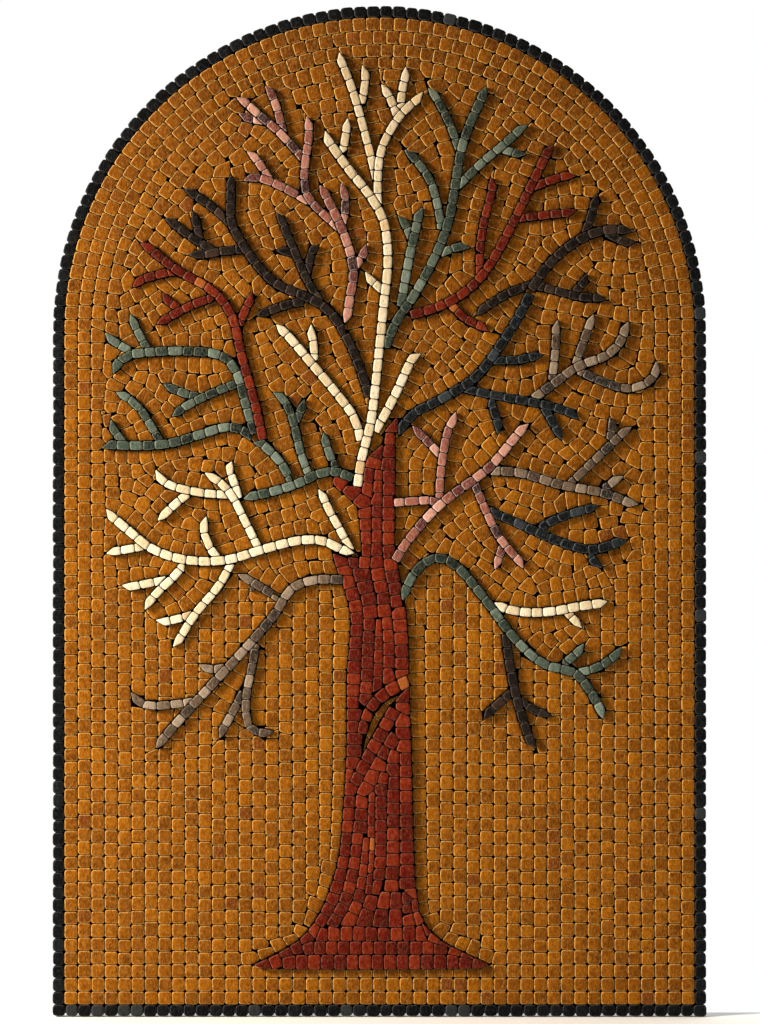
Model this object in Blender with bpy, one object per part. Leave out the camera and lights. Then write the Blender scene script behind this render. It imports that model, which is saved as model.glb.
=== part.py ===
"""Arched mosaic panel with a raised tree, as solids in metres.

The flat back lies in the plane y = 0 and the picture faces -Y, with +Z up. The origin is the
middle of the back. Stones of one colour that lie side by side are one solid: the border row, the
field, the trunk, and each limb of the tree with its twigs.
"""

import math

import bmesh
import bpy
from mathutils import Vector, geometry

# Driving sizes, in metres
PANEL_WIDTH = 0.610
PANEL_HEIGHT = 0.9425
BED_THICKNESS = 0.002
BED_INSET = 0.0022
STONE_THICKNESS = 0.008
BORDER_WIDTH = 0.0113
BORDER_PITCH = 0.0123
CORNER_CUT = 0.0025
TREE_PROUD = 0.005
RECESS_WEB = 0.001
LIMB_WIDTH = 0.0087
TWIG_WIDTH = 0.0080
TIP_LENGTH = 0.0105
FOOT_RISE = 0.0339
CROWN_MARGIN = 0.0325

# Clearances between solids that touch, in metres
BEDDING_GAP = 0.0003
JOINT_GAP = 0.0004

# How closely a curved edge is followed
CHORD_TOLERANCE = 0.0012
CURVE_STEPS = 8
ARCH_STEPS = 40
CURVE_PULL = 1 / 3

# Limits that keep a mitre short and a last stretch from vanishing, as shares
LEAST_ROUTE_TURN = 0.5
LEAST_CORNER_TURN = 0.25
LEAST_STUB = 0.1

# Points closer than this are one, and faces within this angle are one flat
WELD_DISTANCE = 0.000001
FLAT_ANGLE = math.radians(0.5)

# The tree is drawn on a grid as a picture is: x to the right, y down. Its middle line, the line
# that its foot stands on, its height, and the width between the border rows:
DRAWING_MIDDLE = 379.5
DRAWING_FOOT = 969.0
DRAWING_HEIGHT = 917.0
DRAWING_WIDTH = 631.0

# Which ends of a route come to a point: none, its last one, or both
SQUARE = (False, False)
POINTED = (False, True)
TWO_POINTS = (True, True)

# The trunk's outline as smooth stretches that meet at corners, anticlockwise from the right prong
TRUNK_STRETCHES = [
    [(392.5, 422), (386, 430), (382, 443), (368, 458), (362.5, 475), (361.5, 489)],
    [(361.5, 489), (348, 479), (336, 475)],
    [(336, 475), (333, 482), (340, 492), (355, 505), (359, 520), (361.5, 548)],
    [(361.5, 548), (356, 556), (345, 557), (332, 552.5)],
    [(332, 552.5), (336, 567), (345.5, 594), (350.5, 620), (347, 675), (346.5, 750), (343.5, 805),
     (338, 860), (323, 906), (304, 935), (278, 953), (251.5, 965.5)],
    [(251.5, 965.5), (266, 969), (478, 969), (491.5, 965.5)],
    [(491.5, 965.5), (465, 953), (442, 940.5), (425, 923), (417, 895), (413.5, 830), (411.5, 750),
     (409.5, 690), (407, 620), (400, 577), (395, 548)],
    [(395, 548), (395, 430), (392.5, 422)],
]

# The slit in the trunk where its two halves twist apart, as two edges
SLIT_STRETCHES = [
    [(401, 694), (386, 711), (373, 734), (361.5, 757)],
    [(361.5, 757), (368.5, 729), (380, 706), (401, 694)],
]

# Each limb: its stone, its main route from the joined end out, and then its twigs in the same way
LIMBS = {
    "crown_cream_limb": ("cream marble", [
        (POINTED, [(357.5, 487), (361, 462), (371, 422), (377, 372), (384, 303), (388, 262), (384, 222),
                   (370, 196), (349, 170), (322, 132)]),
        (POINTED, [(341, 160), (346, 135), (347, 117)]),
        (POINTED, [(378, 208), (378, 175), (382, 148), (397, 120), (412, 104), (426, 94)]),
        (POINTED, [(398, 119), (390, 98), (380, 84)]),
        (POINTED, [(400, 116), (402, 92), (408, 66)]),
        (POINTED, [(377, 182), (371, 157), (360, 115), (349, 80), (337, 52)]),
        (POINTED, [(359, 110), (365, 88), (365, 64)]),
        (POINTED, [(384, 292), (362.5, 273)]),
    ]),
    "cream_left_limb": ("cream marble", [
        (POINTED, [(361, 441), (355, 419), (337, 394), (311, 363), (289, 337), (275, 324)]),
        (POINTED, [(314, 366), (314, 345), (308.5, 324)]),
    ]),
    "cream_right_limb": ("cream marble", [
        (POINTED, [(375, 432), (387, 411), (401, 383), (411, 361), (420, 350.5)]),
    ]),
    "crown_pink_limb": ("pink marble", [
        (TWO_POINTS, [(346, 325), (349.5, 301), (353.5, 272), (347, 242), (334, 212), (320, 184)]),
        (POINTED, [(341, 228), (346, 207), (342, 182)]),
        (POINTED, [(353, 270), (361, 259), (368, 244)]),
        (POINTED, [(340, 229), (318, 209), (306, 193), (305, 165), (309, 137), (308, 115)]),
        (POINTED, [(305, 161), (281, 134), (260, 116), (237, 95)]),
        (POINTED, [(284, 137), (277, 108), (267, 84)]),
        (POINTED, [(267, 122), (250, 119), (237, 115)]),
        (POINTED, [(309, 202), (284, 188), (259, 178), (242, 179)]),
        (POINTED, [(271, 182), (259, 163), (248, 149)]),
    ]),
    "upper_left_brown_limb": ("brown marble", [
        (POINTED, [(369, 397), (361, 371), (347, 338), (328, 310), (304, 296), (276, 284), (254, 261),
                   (240, 240), (231, 222), (231, 196), (231, 174)]),
        (POINTED, [(234, 227), (213, 208), (184, 188)]),
        (POINTED, [(249, 249), (222, 251.5), (203, 255), (188, 252.5)]),
        (POINTED, [(214, 252), (196, 240), (181, 230), (166, 216)]),
        (POINTED, [(200, 242), (197, 225), (192, 210)]),
        (POINTED, [(322, 304), (307, 280), (290, 240), (278, 211)]),
        (POINTED, [(295, 254), (275, 249)]),
        (POINTED, [(305, 277), (310, 262), (313, 250), (322, 244)]),
        (POINTED, [(316, 302), (295, 303), (275, 309), (255, 317)]),
    ]),
    "left_red_limb": ("red marble", [
        (POINTED, [(263, 440), (254.5, 401), (241.5, 355), (232, 316), (213, 291), (178, 271),
                   (140.5, 241)]),
        (POINTED, [(178, 271), (163, 274), (144, 279), (131, 288)]),
        (POINTED, [(219, 297), (200, 302), (175, 314), (156, 326)]),
        (POINTED, [(181, 310), (168, 301), (160, 293)]),
        (POINTED, [(237, 332), (244, 313), (255, 292)]),
    ]),
    "left_green_upper_limb": ("green marble", [
        (POINTED, [(255, 434), (246, 405), (236, 371), (222, 356), (190, 351.5), (150, 352.5),
                   (125, 357), (111, 374)]),
        (POINTED, [(134, 353), (120, 345.5), (103, 334)]),
        (POINTED, [(149, 352), (138, 332), (130, 313)]),
        (POINTED, [(239, 383), (212, 393.5), (185, 407), (171.5, 418)]),
        (POINTED, [(203, 398), (185, 394), (162, 384)]),
    ]),
    "left_green_lower_limb": ("green marble", [
        (POINTED, [(353, 478), (334, 471.5), (318, 474), (300, 483), (272, 492), (242, 498.5)]),
        (POINTED, [(311, 480), (301, 454), (294, 424), (286, 403), (274, 390)]),
        (POINTED, [(294, 425), (300, 412), (307, 399)]),
        (POINTED, [(337, 473), (328, 450), (323, 431)]),
    ]),
    "left_green_middle_limb": ("green marble", [
        (POINTED, [(294, 486), (281, 463), (258, 441), (232, 427), (203, 434), (171, 443.5),
                   (140, 446), (101, 444.5)]),
        (POINTED, [(125, 445), (116, 433), (108, 420)]),
        (POINTED, [(162, 445), (150, 424), (136, 404), (115, 391)]),
    ]),
    "left_cream_limb": ("cream marble", [
        (TWO_POINTS, [(356, 551.5), (345, 551), (325, 541.5), (303, 540), (265, 549), (225, 560.5),
                      (185, 560), (152, 549), (128, 530), (104, 510)]),
        (POINTED, [(146, 546), (128, 549.5), (105, 553)]),
        (POINTED, [(188, 560), (174, 577), (158, 592), (143, 610)]),
        (POINTED, [(168, 580), (145, 584), (131, 587), (121, 584.5)]),
        (POINTED, [(233, 560), (219, 586), (195, 614.5), (174, 649)]),
        (POINTED, [(194, 614), (177, 619.5), (155, 623.5)]),
        (POINTED, [(219, 560), (206, 541), (204, 526), (206, 515)]),
        (POINTED, [(260, 551), (245, 521), (231, 494), (217, 480), (203, 474)]),
        (POINTED, [(231, 495), (205, 493.5), (169, 485), (153, 471)]),
        (POINTED, [(192, 491), (178, 502), (157, 522)]),
        (POINTED, [(239, 500), (234, 481), (229.5, 469), (232.5, 458)]),
        (POINTED, [(351, 551), (341, 531.5), (328, 508), (319.5, 487.5)]),
    ]),
    "left_taupe_limb": ("taupe marble", [
        (POINTED, [(343, 580), (315, 580), (291, 589), (276, 613), (248, 646), (210, 687), (178, 722),
                   (155, 749)]),
        (POINTED, [(284, 602), (262, 588), (237, 573)]),
        (POINTED, [(257, 584), (251, 594)]),
        (POINTED, [(229, 667), (212, 669.5), (197, 666)]),
        (POINTED, [(257, 637), (253, 662), (247, 692), (246, 715), (252, 730), (274.5, 734)]),
        (POINTED, [(243.5, 692), (234, 710), (218, 739)]),
        (POINTED, [(198, 701), (170, 705), (145, 705), (129, 693)]),
    ]),
    "crown_green_limb": ("green marble", [
        (TWO_POINTS, [(384, 352.5), (396, 322), (412, 299), (436, 255), (449, 220), (456, 180),
                      (464, 140), (487, 86)]),
        (POINTED, [(460, 152), (447, 118), (429, 86)]),
        (POINTED, [(457, 188), (483, 162), (505, 144), (527, 123)]),
        (POINTED, [(500, 149), (527, 157)]),
        (POINTED, [(442, 238), (439, 212), (429, 178), (405, 148)]),
        (POINTED, [(437, 255), (455, 248), (471, 245)]),
    ]),
    "crown_green_inner_limb": ("green marble", [
        (POINTED, [(401, 307), (405, 282), (411, 250), (417, 225), (420, 206)]),
        (POINTED, [(412, 240), (400, 213)]),
    ]),
    "right_red_limb": ("red marble", [
        (POINTED, [(410.5, 315.5), (436, 308), (460, 296), (482, 276), (500, 248), (523, 203),
                   (552, 143)]),
        (POINTED, [(532, 188), (555, 179), (577, 174)]),
        (POINTED, [(515, 219), (540, 216), (578, 212)]),
        (POINTED, [(480, 279), (480, 248), (486, 213), (492, 193), (492, 176)]),
        (POINTED, [(449, 303), (467, 320), (491, 330)]),
    ]),
    "right_brown_limb": ("brown marble", [
        (POINTED, [(531, 290), (547, 267), (571, 245), (601, 231), (633, 230)]),
        (POINTED, [(584, 237), (592, 213), (597, 193)]),
        (POINTED, [(604, 232), (621, 241), (637, 245)]),
        (POINTED, [(533, 285), (509, 293), (474, 315)]),
        (POINTED, [(532, 285), (562, 292.5), (585, 298), (607.5, 297)]),
        (POINTED, [(574, 294), (583, 283), (590.5, 275)]),
    ]),
    "right_black_limb": ("black marble", [
        (POINTED, [(530, 294), (518.5, 317), (502, 343), (476, 377), (440, 400), (412, 415),
                   (397, 435.5)]),
        (POINTED, [(493, 361), (519, 360), (544, 354)]),
        (POINTED, [(464, 389), (496, 396), (530, 402), (558, 408.5), (581, 417.5)]),
        (POINTED, [(489, 396), (496, 417), (501, 435)]),
        (POINTED, [(542, 404), (551, 420), (563, 441)]),
    ]),
    "right_taupe_upper_limb": ("taupe marble", [
        (POINTED, [(533, 399), (555, 383), (577, 367), (607, 355.5), (621, 341), (627, 320)]),
        (POINTED, [(551, 387), (554.5, 360), (556, 333), (554.5, 319)]),
        (POINTED, [(574, 369), (583, 343), (594, 313)]),
        (POINTED, [(573, 368), (600, 381), (629, 389), (651, 380), (659, 361)]),
    ]),
    "right_pink_limb": ("pink marble", [
        (POINTED, [(395, 561), (407, 542), (440, 505), (489, 468), (513, 440), (528, 422)]),
        (SQUARE, [(441, 504), (433, 500.5), (394, 503)]),
        (POINTED, [(440, 505), (439.5, 488), (443, 455), (449, 428), (459, 412.5)]),
        (POINTED, [(441, 456), (423.5, 437.5), (411, 426)]),
        (POINTED, [(473, 480), (486, 511), (500, 538.5), (526, 568.5)]),
        (POINTED, [(503, 545), (499, 558), (493.5, 570.5)]),
    ]),
    "right_taupe_middle_limb": ("taupe marble", [
        (POINTED, [(489, 471), (520, 473), (560, 485), (603, 493), (639, 507)]),
        (POINTED, [(567, 487), (594, 461), (631.5, 425)]),
        (POINTED, [(609, 446), (612, 427), (612, 415.5)]),
        (POINTED, [(598, 492), (609, 485.5), (623, 473.5)]),
    ]),
    "right_black_lower_limb": ("black marble", [
        (POINTED, [(489, 511), (520, 524.5), (560, 542), (592, 550), (627.5, 539)]),
        (POINTED, [(536, 530), (560, 517.5), (599.5, 506)]),
        (POINTED, [(585, 549), (600.5, 571)]),
    ]),
    "right_green_limb": ("green marble", [
        (TWO_POINTS, [(402.5, 602), (411, 578), (431, 559), (452, 562.5), (484, 598), (515, 639),
                      (544, 664.5), (575, 673), (593, 696), (605, 719.5)]),
        (POINTED, [(558, 668), (572, 657.5), (586, 644)]),
        (POINTED, [(577, 673), (599, 667), (624, 648.5)]),
    ]),
    "right_cream_limb": ("cream marble", [
        (TWO_POINTS, [(492, 603), (513, 611), (545, 612.5), (580, 606.5), (609, 602.5)]),
        (POINTED, [(564, 609), (574, 620), (584, 628)]),
    ]),
    "right_brown_lower_limb": ("brown marble", [
        (POINTED, [(506, 634), (509, 660), (517, 700), (526, 729), (534, 751)]),
        (POINTED, [(513, 691), (497, 705), (481, 719)]),
        (POINTED, [(518, 699), (535, 711), (553, 716)]),
    ]),
}

# Stones: colour as sRGB hex, and roughness
STONES = {
    "mesh bed": ("2A2520", 0.9),
    "ochre marble": ("A0611B", 0.55),
    "black marble": ("232427", 0.5),
    "brown marble": ("2C221C", 0.5),
    "red marble": ("64200F", 0.5),
    "cream marble": ("F1DFB9", 0.5),
    "pink marble": ("B67965", 0.5),
    "green marble": ("5B604F", 0.5),
    "taupe marble": ("7A6350", 0.5),
}

# Depths from the back, worked out from the sizes above
STONE_BACK = BED_THICKNESS + BEDDING_GAP
STONE_FRONT = STONE_BACK + STONE_THICKNESS
RECESS_FLOOR = STONE_BACK + RECESS_WEB
TREE_BACK = RECESS_FLOOR + BEDDING_GAP
TREE_FRONT = STONE_FRONT + TREE_PROUD

# The panel's outline and the drawing's scale, worked out from the sizes above
ARCH_RADIUS = PANEL_WIDTH / 2
ARCH_CENTRE = PANEL_HEIGHT / 2 - ARCH_RADIUS
PANEL_BOTTOM = -PANEL_HEIGHT / 2
FOOT_LINE = PANEL_BOTTOM + BORDER_WIDTH + FOOT_RISE
CROWN_LINE = PANEL_HEIGHT / 2 - BORDER_WIDTH - CROWN_MARGIN
SCALE_ACROSS = (PANEL_WIDTH - 2 * BORDER_WIDTH) / DRAWING_WIDTH
SCALE_UP = (CROWN_LINE - FOOT_LINE) / DRAWING_HEIGHT


def clear_scene():
    """Removes every object, so that the script starts from nothing."""
    for item in list(bpy.data.objects):
        bpy.data.objects.remove(item, do_unlink=True)


def new_collection(name):
    """A collection of the scene's own."""
    collection = bpy.data.collections.new(name)
    bpy.context.scene.collection.children.link(collection)
    return collection


def linear(channel):
    """One sRGB channel, 0 to 1, as linear light."""
    if channel <= 0.04045:
        return channel / 12.92
    return ((channel + 0.055) / 1.055) ** 2.4


def stone_material(name):
    """The named stone's material, made once."""
    if name in bpy.data.materials:
        return bpy.data.materials[name]
    hex_colour, roughness = STONES[name]
    channels = [linear(int(hex_colour[place:place + 2], 16) / 255) for place in (0, 2, 4)]
    material = bpy.data.materials.new(name)
    material.use_nodes = True
    shader = material.node_tree.nodes["Principled BSDF"]
    shader.inputs["Base Color"].default_value = (*channels, 1.0)
    shader.inputs["Roughness"].default_value = roughness
    shader.inputs["Metallic"].default_value = 0.0
    return material


def on_panel(spot):
    """A spot of the drawing, as a point on the panel: across and up, in metres."""
    across = (spot[0] - DRAWING_MIDDLE) * SCALE_ACROSS
    up = FOOT_LINE + (DRAWING_FOOT - spot[1]) * SCALE_UP
    return Vector((across, up))


def chord_distance(point, start, end):
    """How far a point lies from the line through two others."""
    chord = end - start
    if chord.length < CHORD_TOLERANCE:
        return (point - start).length
    return abs(chord.x * (point.y - start.y) - chord.y * (point.x - start.x)) / chord.length


def thinned(line):
    """Leaves out the points that lie within the tolerance of a straight run."""
    if len(line) < 3:
        return line
    strays = [chord_distance(point, line[0], line[-1]) for point in line[1:-1]]
    if max(strays) < CHORD_TOLERANCE:
        return [line[0], line[-1]]
    split = strays.index(max(strays)) + 1
    return thinned(line[:split + 1])[:-1] + thinned(line[split:])


def smooth_line(spots):
    """A smooth line on the panel through spots of the drawing, with no more points than it needs."""
    points = [on_panel(spot) for spot in spots]
    directions = []
    for place, point in enumerate(points):
        before = points[max(place - 1, 0)]
        after = points[min(place + 1, len(points) - 1)]
        directions.append((after - before).normalized())
    line = [points[0]]
    for place in range(len(points) - 1):
        start, end = points[place], points[place + 1]
        reach = (end - start).length * CURVE_PULL
        line += geometry.interpolate_bezier(
            start.to_3d(), (start + directions[place] * reach).to_3d(),
            (end - directions[place + 1] * reach).to_3d(), end.to_3d(), CURVE_STEPS)[1:]
    return thinned([Vector(point[:2]) for point in line])


def without_end(line, length):
    """The line cut back by a length at its last point."""
    line = list(line)
    while (line[-1] - line[-2]).length <= length and len(line) > 2:
        length -= (line[-1] - line[-2]).length
        line.pop()
    last = line[-1] - line[-2]
    line[-1] = line[-2] + last * max(1 - length / last.length, LEAST_STUB)
    return line


def limb_outline(route, width):
    """The outline of one row of stones along a route, with a point at each free end."""
    (first_pointed, last_pointed), spots = route
    line = smooth_line(spots)
    first_tip, last_tip = line[0], line[-1]
    if last_pointed:
        line = without_end(line, TIP_LENGTH)
    if first_pointed:
        line = without_end(line[::-1], TIP_LENGTH)[::-1]
    left, right = [], []
    for place, point in enumerate(line):
        before = line[max(place - 1, 0)]
        after = line[min(place + 1, len(line) - 1)]
        arriving = (point - before).normalized() if place > 0 else (after - point).normalized()
        leaving = (after - point).normalized() if place < len(line) - 1 else arriving
        along = (arriving + leaving).normalized()
        side = Vector((-along.y, along.x)) * (width / 2) / max(along.dot(arriving), LEAST_ROUTE_TURN)
        left.append(point + side)
        right.append(point - side)
    outline = right + ([last_tip] if last_pointed else []) + left[::-1]
    if first_pointed:
        outline.append(first_tip)
    return outline


def twice_area(outline):
    """Twice the area inside a closed outline, positive where it runs anticlockwise."""
    pairs = zip(outline, outline[1:] + outline[:1])
    return sum(start.x * end.y - start.y * end.x for start, end in pairs)


def outset(outline, distance):
    """A closed outline moved outwards by a distance, or inwards by a negative one."""
    if twice_area(outline) < 0:
        outline = outline[::-1]
    moved = []
    for place, point in enumerate(outline):
        arriving = (point - outline[place - 1]).normalized()
        leaving = (outline[(place + 1) % len(outline)] - point).normalized()
        first_out = Vector((arriving.y, -arriving.x))
        second_out = Vector((leaving.y, -leaving.x))
        mitre = (first_out + second_out) / max(1 + first_out.dot(second_out), LEAST_CORNER_TURN)
        moved.append(point + mitre * distance)
    return moved


def stretched_outline(stretches):
    """A closed outline from smooth stretches that meet at corners."""
    outline = []
    for spots in stretches:
        outline += smooth_line(spots)[:-1]
    return outline


def outlines_cross(first, second):
    """Whether two closed outlines cross each other."""
    for start, end in zip(first, first[1:] + first[:1]):
        for other_start, other_end in zip(second, second[1:] + second[:1]):
            if geometry.intersect_line_line_2d(start, end, other_start, other_end):
                return True
    return False


def evaluated_mesh(item):
    """A plain mesh of an object as it stands, with its modifiers."""
    graph = bpy.context.evaluated_depsgraph_get()
    return bpy.data.meshes.new_from_object(item.evaluated_get(graph))


def flat_solid(name, outlines, back, front, collection):
    """A flat piece between two depths. A second outline inside the first is a hole."""
    curve = bpy.data.curves.new(name, "CURVE")
    curve.dimensions = "2D"
    curve.fill_mode = "BOTH"
    curve.extrude = (front - back) / 2
    for outline in outlines:
        spline = curve.splines.new("POLY")
        spline.points.add(len(outline) - 1)
        for knot, point in zip(spline.points, outline):
            knot.co = (point.x, point.y, 0.0, 1.0)
        spline.use_cyclic_u = True
    drawn = bpy.data.objects.new(name + "_drawn", curve)
    drawn.rotation_euler = (math.pi / 2, 0.0, 0.0)
    drawn.location = (0.0, -(back + front) / 2, 0.0)
    collection.objects.link(drawn)
    mesh = evaluated_mesh(drawn)
    mesh.name = name
    shell = bmesh.new()
    shell.from_mesh(mesh)
    bmesh.ops.remove_doubles(shell, verts=shell.verts, dist=WELD_DISTANCE)
    bmesh.ops.recalc_face_normals(shell, faces=shell.faces)
    shell.to_mesh(mesh)
    shell.free()
    solid = bpy.data.objects.new(name, mesh)
    solid.matrix_world = drawn.matrix_world
    collection.objects.link(solid)
    bpy.data.objects.remove(drawn, do_unlink=True)
    return solid


def cut(item, cutter):
    """Takes the cutter's shape out of a piece."""
    modifier = item.modifiers.new("Cut by " + cutter.name, "BOOLEAN")
    modifier.operation = "DIFFERENCE"
    modifier.solver = "EXACT"
    modifier.object = cutter


def fused(name, outlines, back, front, collection):
    """One solid from flat pieces that overlap, with its flat faces merged."""
    pieces = [flat_solid(f"{name}_{number}", [outline], back, front, collection)
              for number, outline in enumerate(outlines)]
    body = pieces[0]
    for piece in pieces[1:]:
        modifier = body.modifiers.new("Join " + piece.name, "BOOLEAN")
        modifier.operation = "UNION"
        modifier.solver = "EXACT"
        modifier.object = piece
    mesh = evaluated_mesh(body)
    shell = bmesh.new()
    shell.from_mesh(mesh)
    bmesh.ops.remove_doubles(shell, verts=shell.verts, dist=WELD_DISTANCE)
    bmesh.ops.dissolve_limit(shell, angle_limit=FLAT_ANGLE, verts=shell.verts, edges=shell.edges)
    shell.to_mesh(mesh)
    shell.free()
    body.modifiers.clear()
    body.data = mesh
    body.name = mesh.name = name
    for piece in pieces[1:]:
        bpy.data.objects.remove(piece, do_unlink=True)
    return body


def merge_flats(item):
    """Merges the flat faces that a cut leaves in pieces."""
    modifier = item.modifiers.new("Merge flat faces", "DECIMATE")
    modifier.decimate_type = "DISSOLVE"
    modifier.angle_limit = FLAT_ANGLE


def mark_as_cutter(item):
    """Keeps a cutter out of the render and shows it as wires."""
    item.hide_render = True
    item.display_type = "WIRE"


def arch_line(radius, steps):
    """The arch at a radius, from right to left over the top."""
    angles = [math.pi * step / steps for step in range(steps + 1)]
    return [Vector((radius * math.cos(angle), ARCH_CENTRE + radius * math.sin(angle))) for angle in angles]


def panel_outline(inset):
    """The plain arched outline, some way inside the panel's edge, anticlockwise."""
    half = ARCH_RADIUS - inset
    bottom = PANEL_BOTTOM + inset
    return [Vector((-half, bottom)), Vector((half, bottom))] + arch_line(half, ARCH_STEPS)


def border_outline():
    """The border row's outer edge: straight along each stone of the arch, with its feet's corners cut."""
    half = ARCH_RADIUS
    feet = [
        Vector((-half, PANEL_BOTTOM + CORNER_CUT)),
        Vector((-half + CORNER_CUT, PANEL_BOTTOM)),
        Vector((half - CORNER_CUT, PANEL_BOTTOM)),
        Vector((half, PANEL_BOTTOM + CORNER_CUT)),
    ]
    return feet + arch_line(half, round(math.pi * half / BORDER_PITCH))


def build_bed(parts):
    """The dark bed that carries every stone."""
    bed = flat_solid("backing_bed", [panel_outline(BED_INSET)], 0.0, BED_THICKNESS, parts)
    bed.data.materials.append(stone_material("mesh bed"))


def build_border(parts):
    """The row of black stones round the edge."""
    outlines = [border_outline(), panel_outline(BORDER_WIDTH)]
    border = flat_solid("border_row", outlines, STONE_BACK, STONE_FRONT, parts)
    border.data.materials.append(stone_material("black marble"))


def build_trunk(parts, recesses):
    """The trunk with its slit, and the recess that it stands in."""
    outline = stretched_outline(TRUNK_STRETCHES)
    slit = stretched_outline(SLIT_STRETCHES)
    trunk = flat_solid("trunk", [outline, slit], TREE_BACK, TREE_FRONT, parts)
    trunk.data.materials.append(stone_material("red marble"))
    grown = [outset(outline, JOINT_GAP), outset(slit, -JOINT_GAP)]
    recess = flat_solid("trunk_recess", grown, RECESS_FLOOR, TREE_FRONT + JOINT_GAP, recesses)
    mark_as_cutter(recess)
    return recess, grown[:1]


def build_limb(name, parts, recesses, earlier):
    """One limb with its twigs, cut where an earlier piece of the tree already stands."""
    stone, routes = LIMBS[name]
    widths = [LIMB_WIDTH] + [TWIG_WIDTH] * (len(routes) - 1)
    outlines = [limb_outline(route, width) for route, width in zip(routes, widths)]
    limb = fused(name, outlines, TREE_BACK, TREE_FRONT, parts)
    limb.data.materials.append(stone_material(stone))
    for recess, standing in earlier:
        if any(outlines_cross(mine, other) for mine in outlines for other in standing):
            cut(limb, recess)
    merge_flats(limb)
    grown = [outset(outline, JOINT_GAP) for outline in outlines]
    recess = fused(name + "_recess", grown, RECESS_FLOOR, TREE_FRONT + JOINT_GAP, recesses)
    mark_as_cutter(recess)
    return recess, grown


def build_field(parts, recesses):
    """The field, with a blind recess for each piece of the tree."""
    outline = panel_outline(BORDER_WIDTH + JOINT_GAP)
    field = flat_solid("ochre_field", [outline], STONE_BACK, STONE_FRONT, parts)
    field.data.materials.append(stone_material("ochre marble"))
    modifier = field.modifiers.new("Recesses", "BOOLEAN")
    modifier.operation = "DIFFERENCE"
    modifier.solver = "EXACT"
    modifier.operand_type = "COLLECTION"
    modifier.collection = recesses
    merge_flats(field)


def build_panel():
    """Every piece of the panel."""
    clear_scene()
    parts = new_collection("mosaic_panel")
    recesses = new_collection("recess_cutters")
    build_bed(parts)
    build_border(parts)
    standing = [build_trunk(parts, recesses)]
    for name in LIMBS:
        standing.append(build_limb(name, parts, recesses, standing))
    build_field(parts, recesses)


build_panel()
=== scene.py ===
# %% [markdown]
# # A marble mosaic with a raised tree
# The real panel is a few thousand tumbled marble stones, each about 12 mm square and 8 mm deep, glued to a
# mesh. A black row runs round the edge, ochre stones fill the field, and the stones of the tree stand
# 5 mm proud. Each stone here is a shape of its own. The work goes the way a mosaic maker goes: first the
# drawing, then the tree's stones, then the courses round the edge, and at last the stones that fill the
# rest, each one cut to the room that is left.

# %% Load the fixed frame
import math
import random
from itertools import compress

import bmesh
import bpy
import numpy as np
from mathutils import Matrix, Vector, geometry, kdtree


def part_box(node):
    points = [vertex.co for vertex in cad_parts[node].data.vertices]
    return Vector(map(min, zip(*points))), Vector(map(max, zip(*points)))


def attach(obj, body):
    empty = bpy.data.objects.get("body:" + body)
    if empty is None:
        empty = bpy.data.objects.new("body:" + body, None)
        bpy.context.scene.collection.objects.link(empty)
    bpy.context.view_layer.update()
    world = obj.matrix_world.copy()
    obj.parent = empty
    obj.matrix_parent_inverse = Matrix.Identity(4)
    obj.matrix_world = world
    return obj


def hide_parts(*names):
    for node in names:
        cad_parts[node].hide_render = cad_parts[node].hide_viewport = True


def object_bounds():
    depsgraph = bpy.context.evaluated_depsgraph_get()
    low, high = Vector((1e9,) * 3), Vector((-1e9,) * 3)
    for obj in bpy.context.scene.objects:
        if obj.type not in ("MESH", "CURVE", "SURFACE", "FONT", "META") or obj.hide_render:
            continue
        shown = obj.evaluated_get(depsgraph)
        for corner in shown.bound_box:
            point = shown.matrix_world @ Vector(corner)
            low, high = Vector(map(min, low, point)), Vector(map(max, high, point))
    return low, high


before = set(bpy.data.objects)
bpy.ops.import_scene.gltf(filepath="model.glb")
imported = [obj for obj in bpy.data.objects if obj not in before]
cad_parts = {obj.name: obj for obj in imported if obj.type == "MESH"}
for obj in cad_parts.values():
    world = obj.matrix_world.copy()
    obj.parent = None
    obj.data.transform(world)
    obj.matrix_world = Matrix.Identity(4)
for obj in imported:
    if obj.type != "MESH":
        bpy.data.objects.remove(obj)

CAD_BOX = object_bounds()
PANEL_LOW, PANEL_HIGH = CAD_BOX
PANEL_HALF = PANEL_HIGH.x
PANEL_FOOT = PANEL_LOW.z
ARCH_CENTRE = PANEL_HIGH.z - PANEL_HALF
BED_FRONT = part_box("backing_bed")[0].y
FIELD_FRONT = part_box("ochre_field")[0].y
TREE_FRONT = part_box("trunk")[0].y
RECESS_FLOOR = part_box("trunk")[1].y
print(f"panel {2 * PANEL_HALF:.3f} m wide")
print(f"stones from {-BED_FRONT * 1000:.1f} to {-TREE_FRONT * 1000:.1f} mm")

# %% [markdown]
# ## The drawing
# The maker works from a drawing under the mesh. This one is kept as a picture is, with x to the right and
# y down, and a limb is only a few points along its middle, from the end that joins the tree to the free
# end. A smooth Bezier line through those points gives its curve. One function carries a spot of the
# drawing to the panel, in metres across and up, so that every piece agrees with the solid model.

# %% Carry the drawing to the panel
BORDER_WIDTH = 0.0113
FOOT_RISE = 0.0339
CROWN_MARGIN = 0.0325
DRAWING_MIDDLE = 379.5
DRAWING_FOOT = 969.0
DRAWING_HEIGHT = 917.0
DRAWING_WIDTH = 631.0
FIELD_HALF = PANEL_HALF - BORDER_WIDTH
FIELD_FOOT = PANEL_FOOT + BORDER_WIDTH
FOOT_LINE = FIELD_FOOT + FOOT_RISE
CROWN_LINE = PANEL_HIGH.z - BORDER_WIDTH - CROWN_MARGIN
SCALE_ACROSS = 2 * FIELD_HALF / DRAWING_WIDTH
SCALE_UP = (CROWN_LINE - FOOT_LINE) / DRAWING_HEIGHT
BEZIER_STEPS = 8


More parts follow.
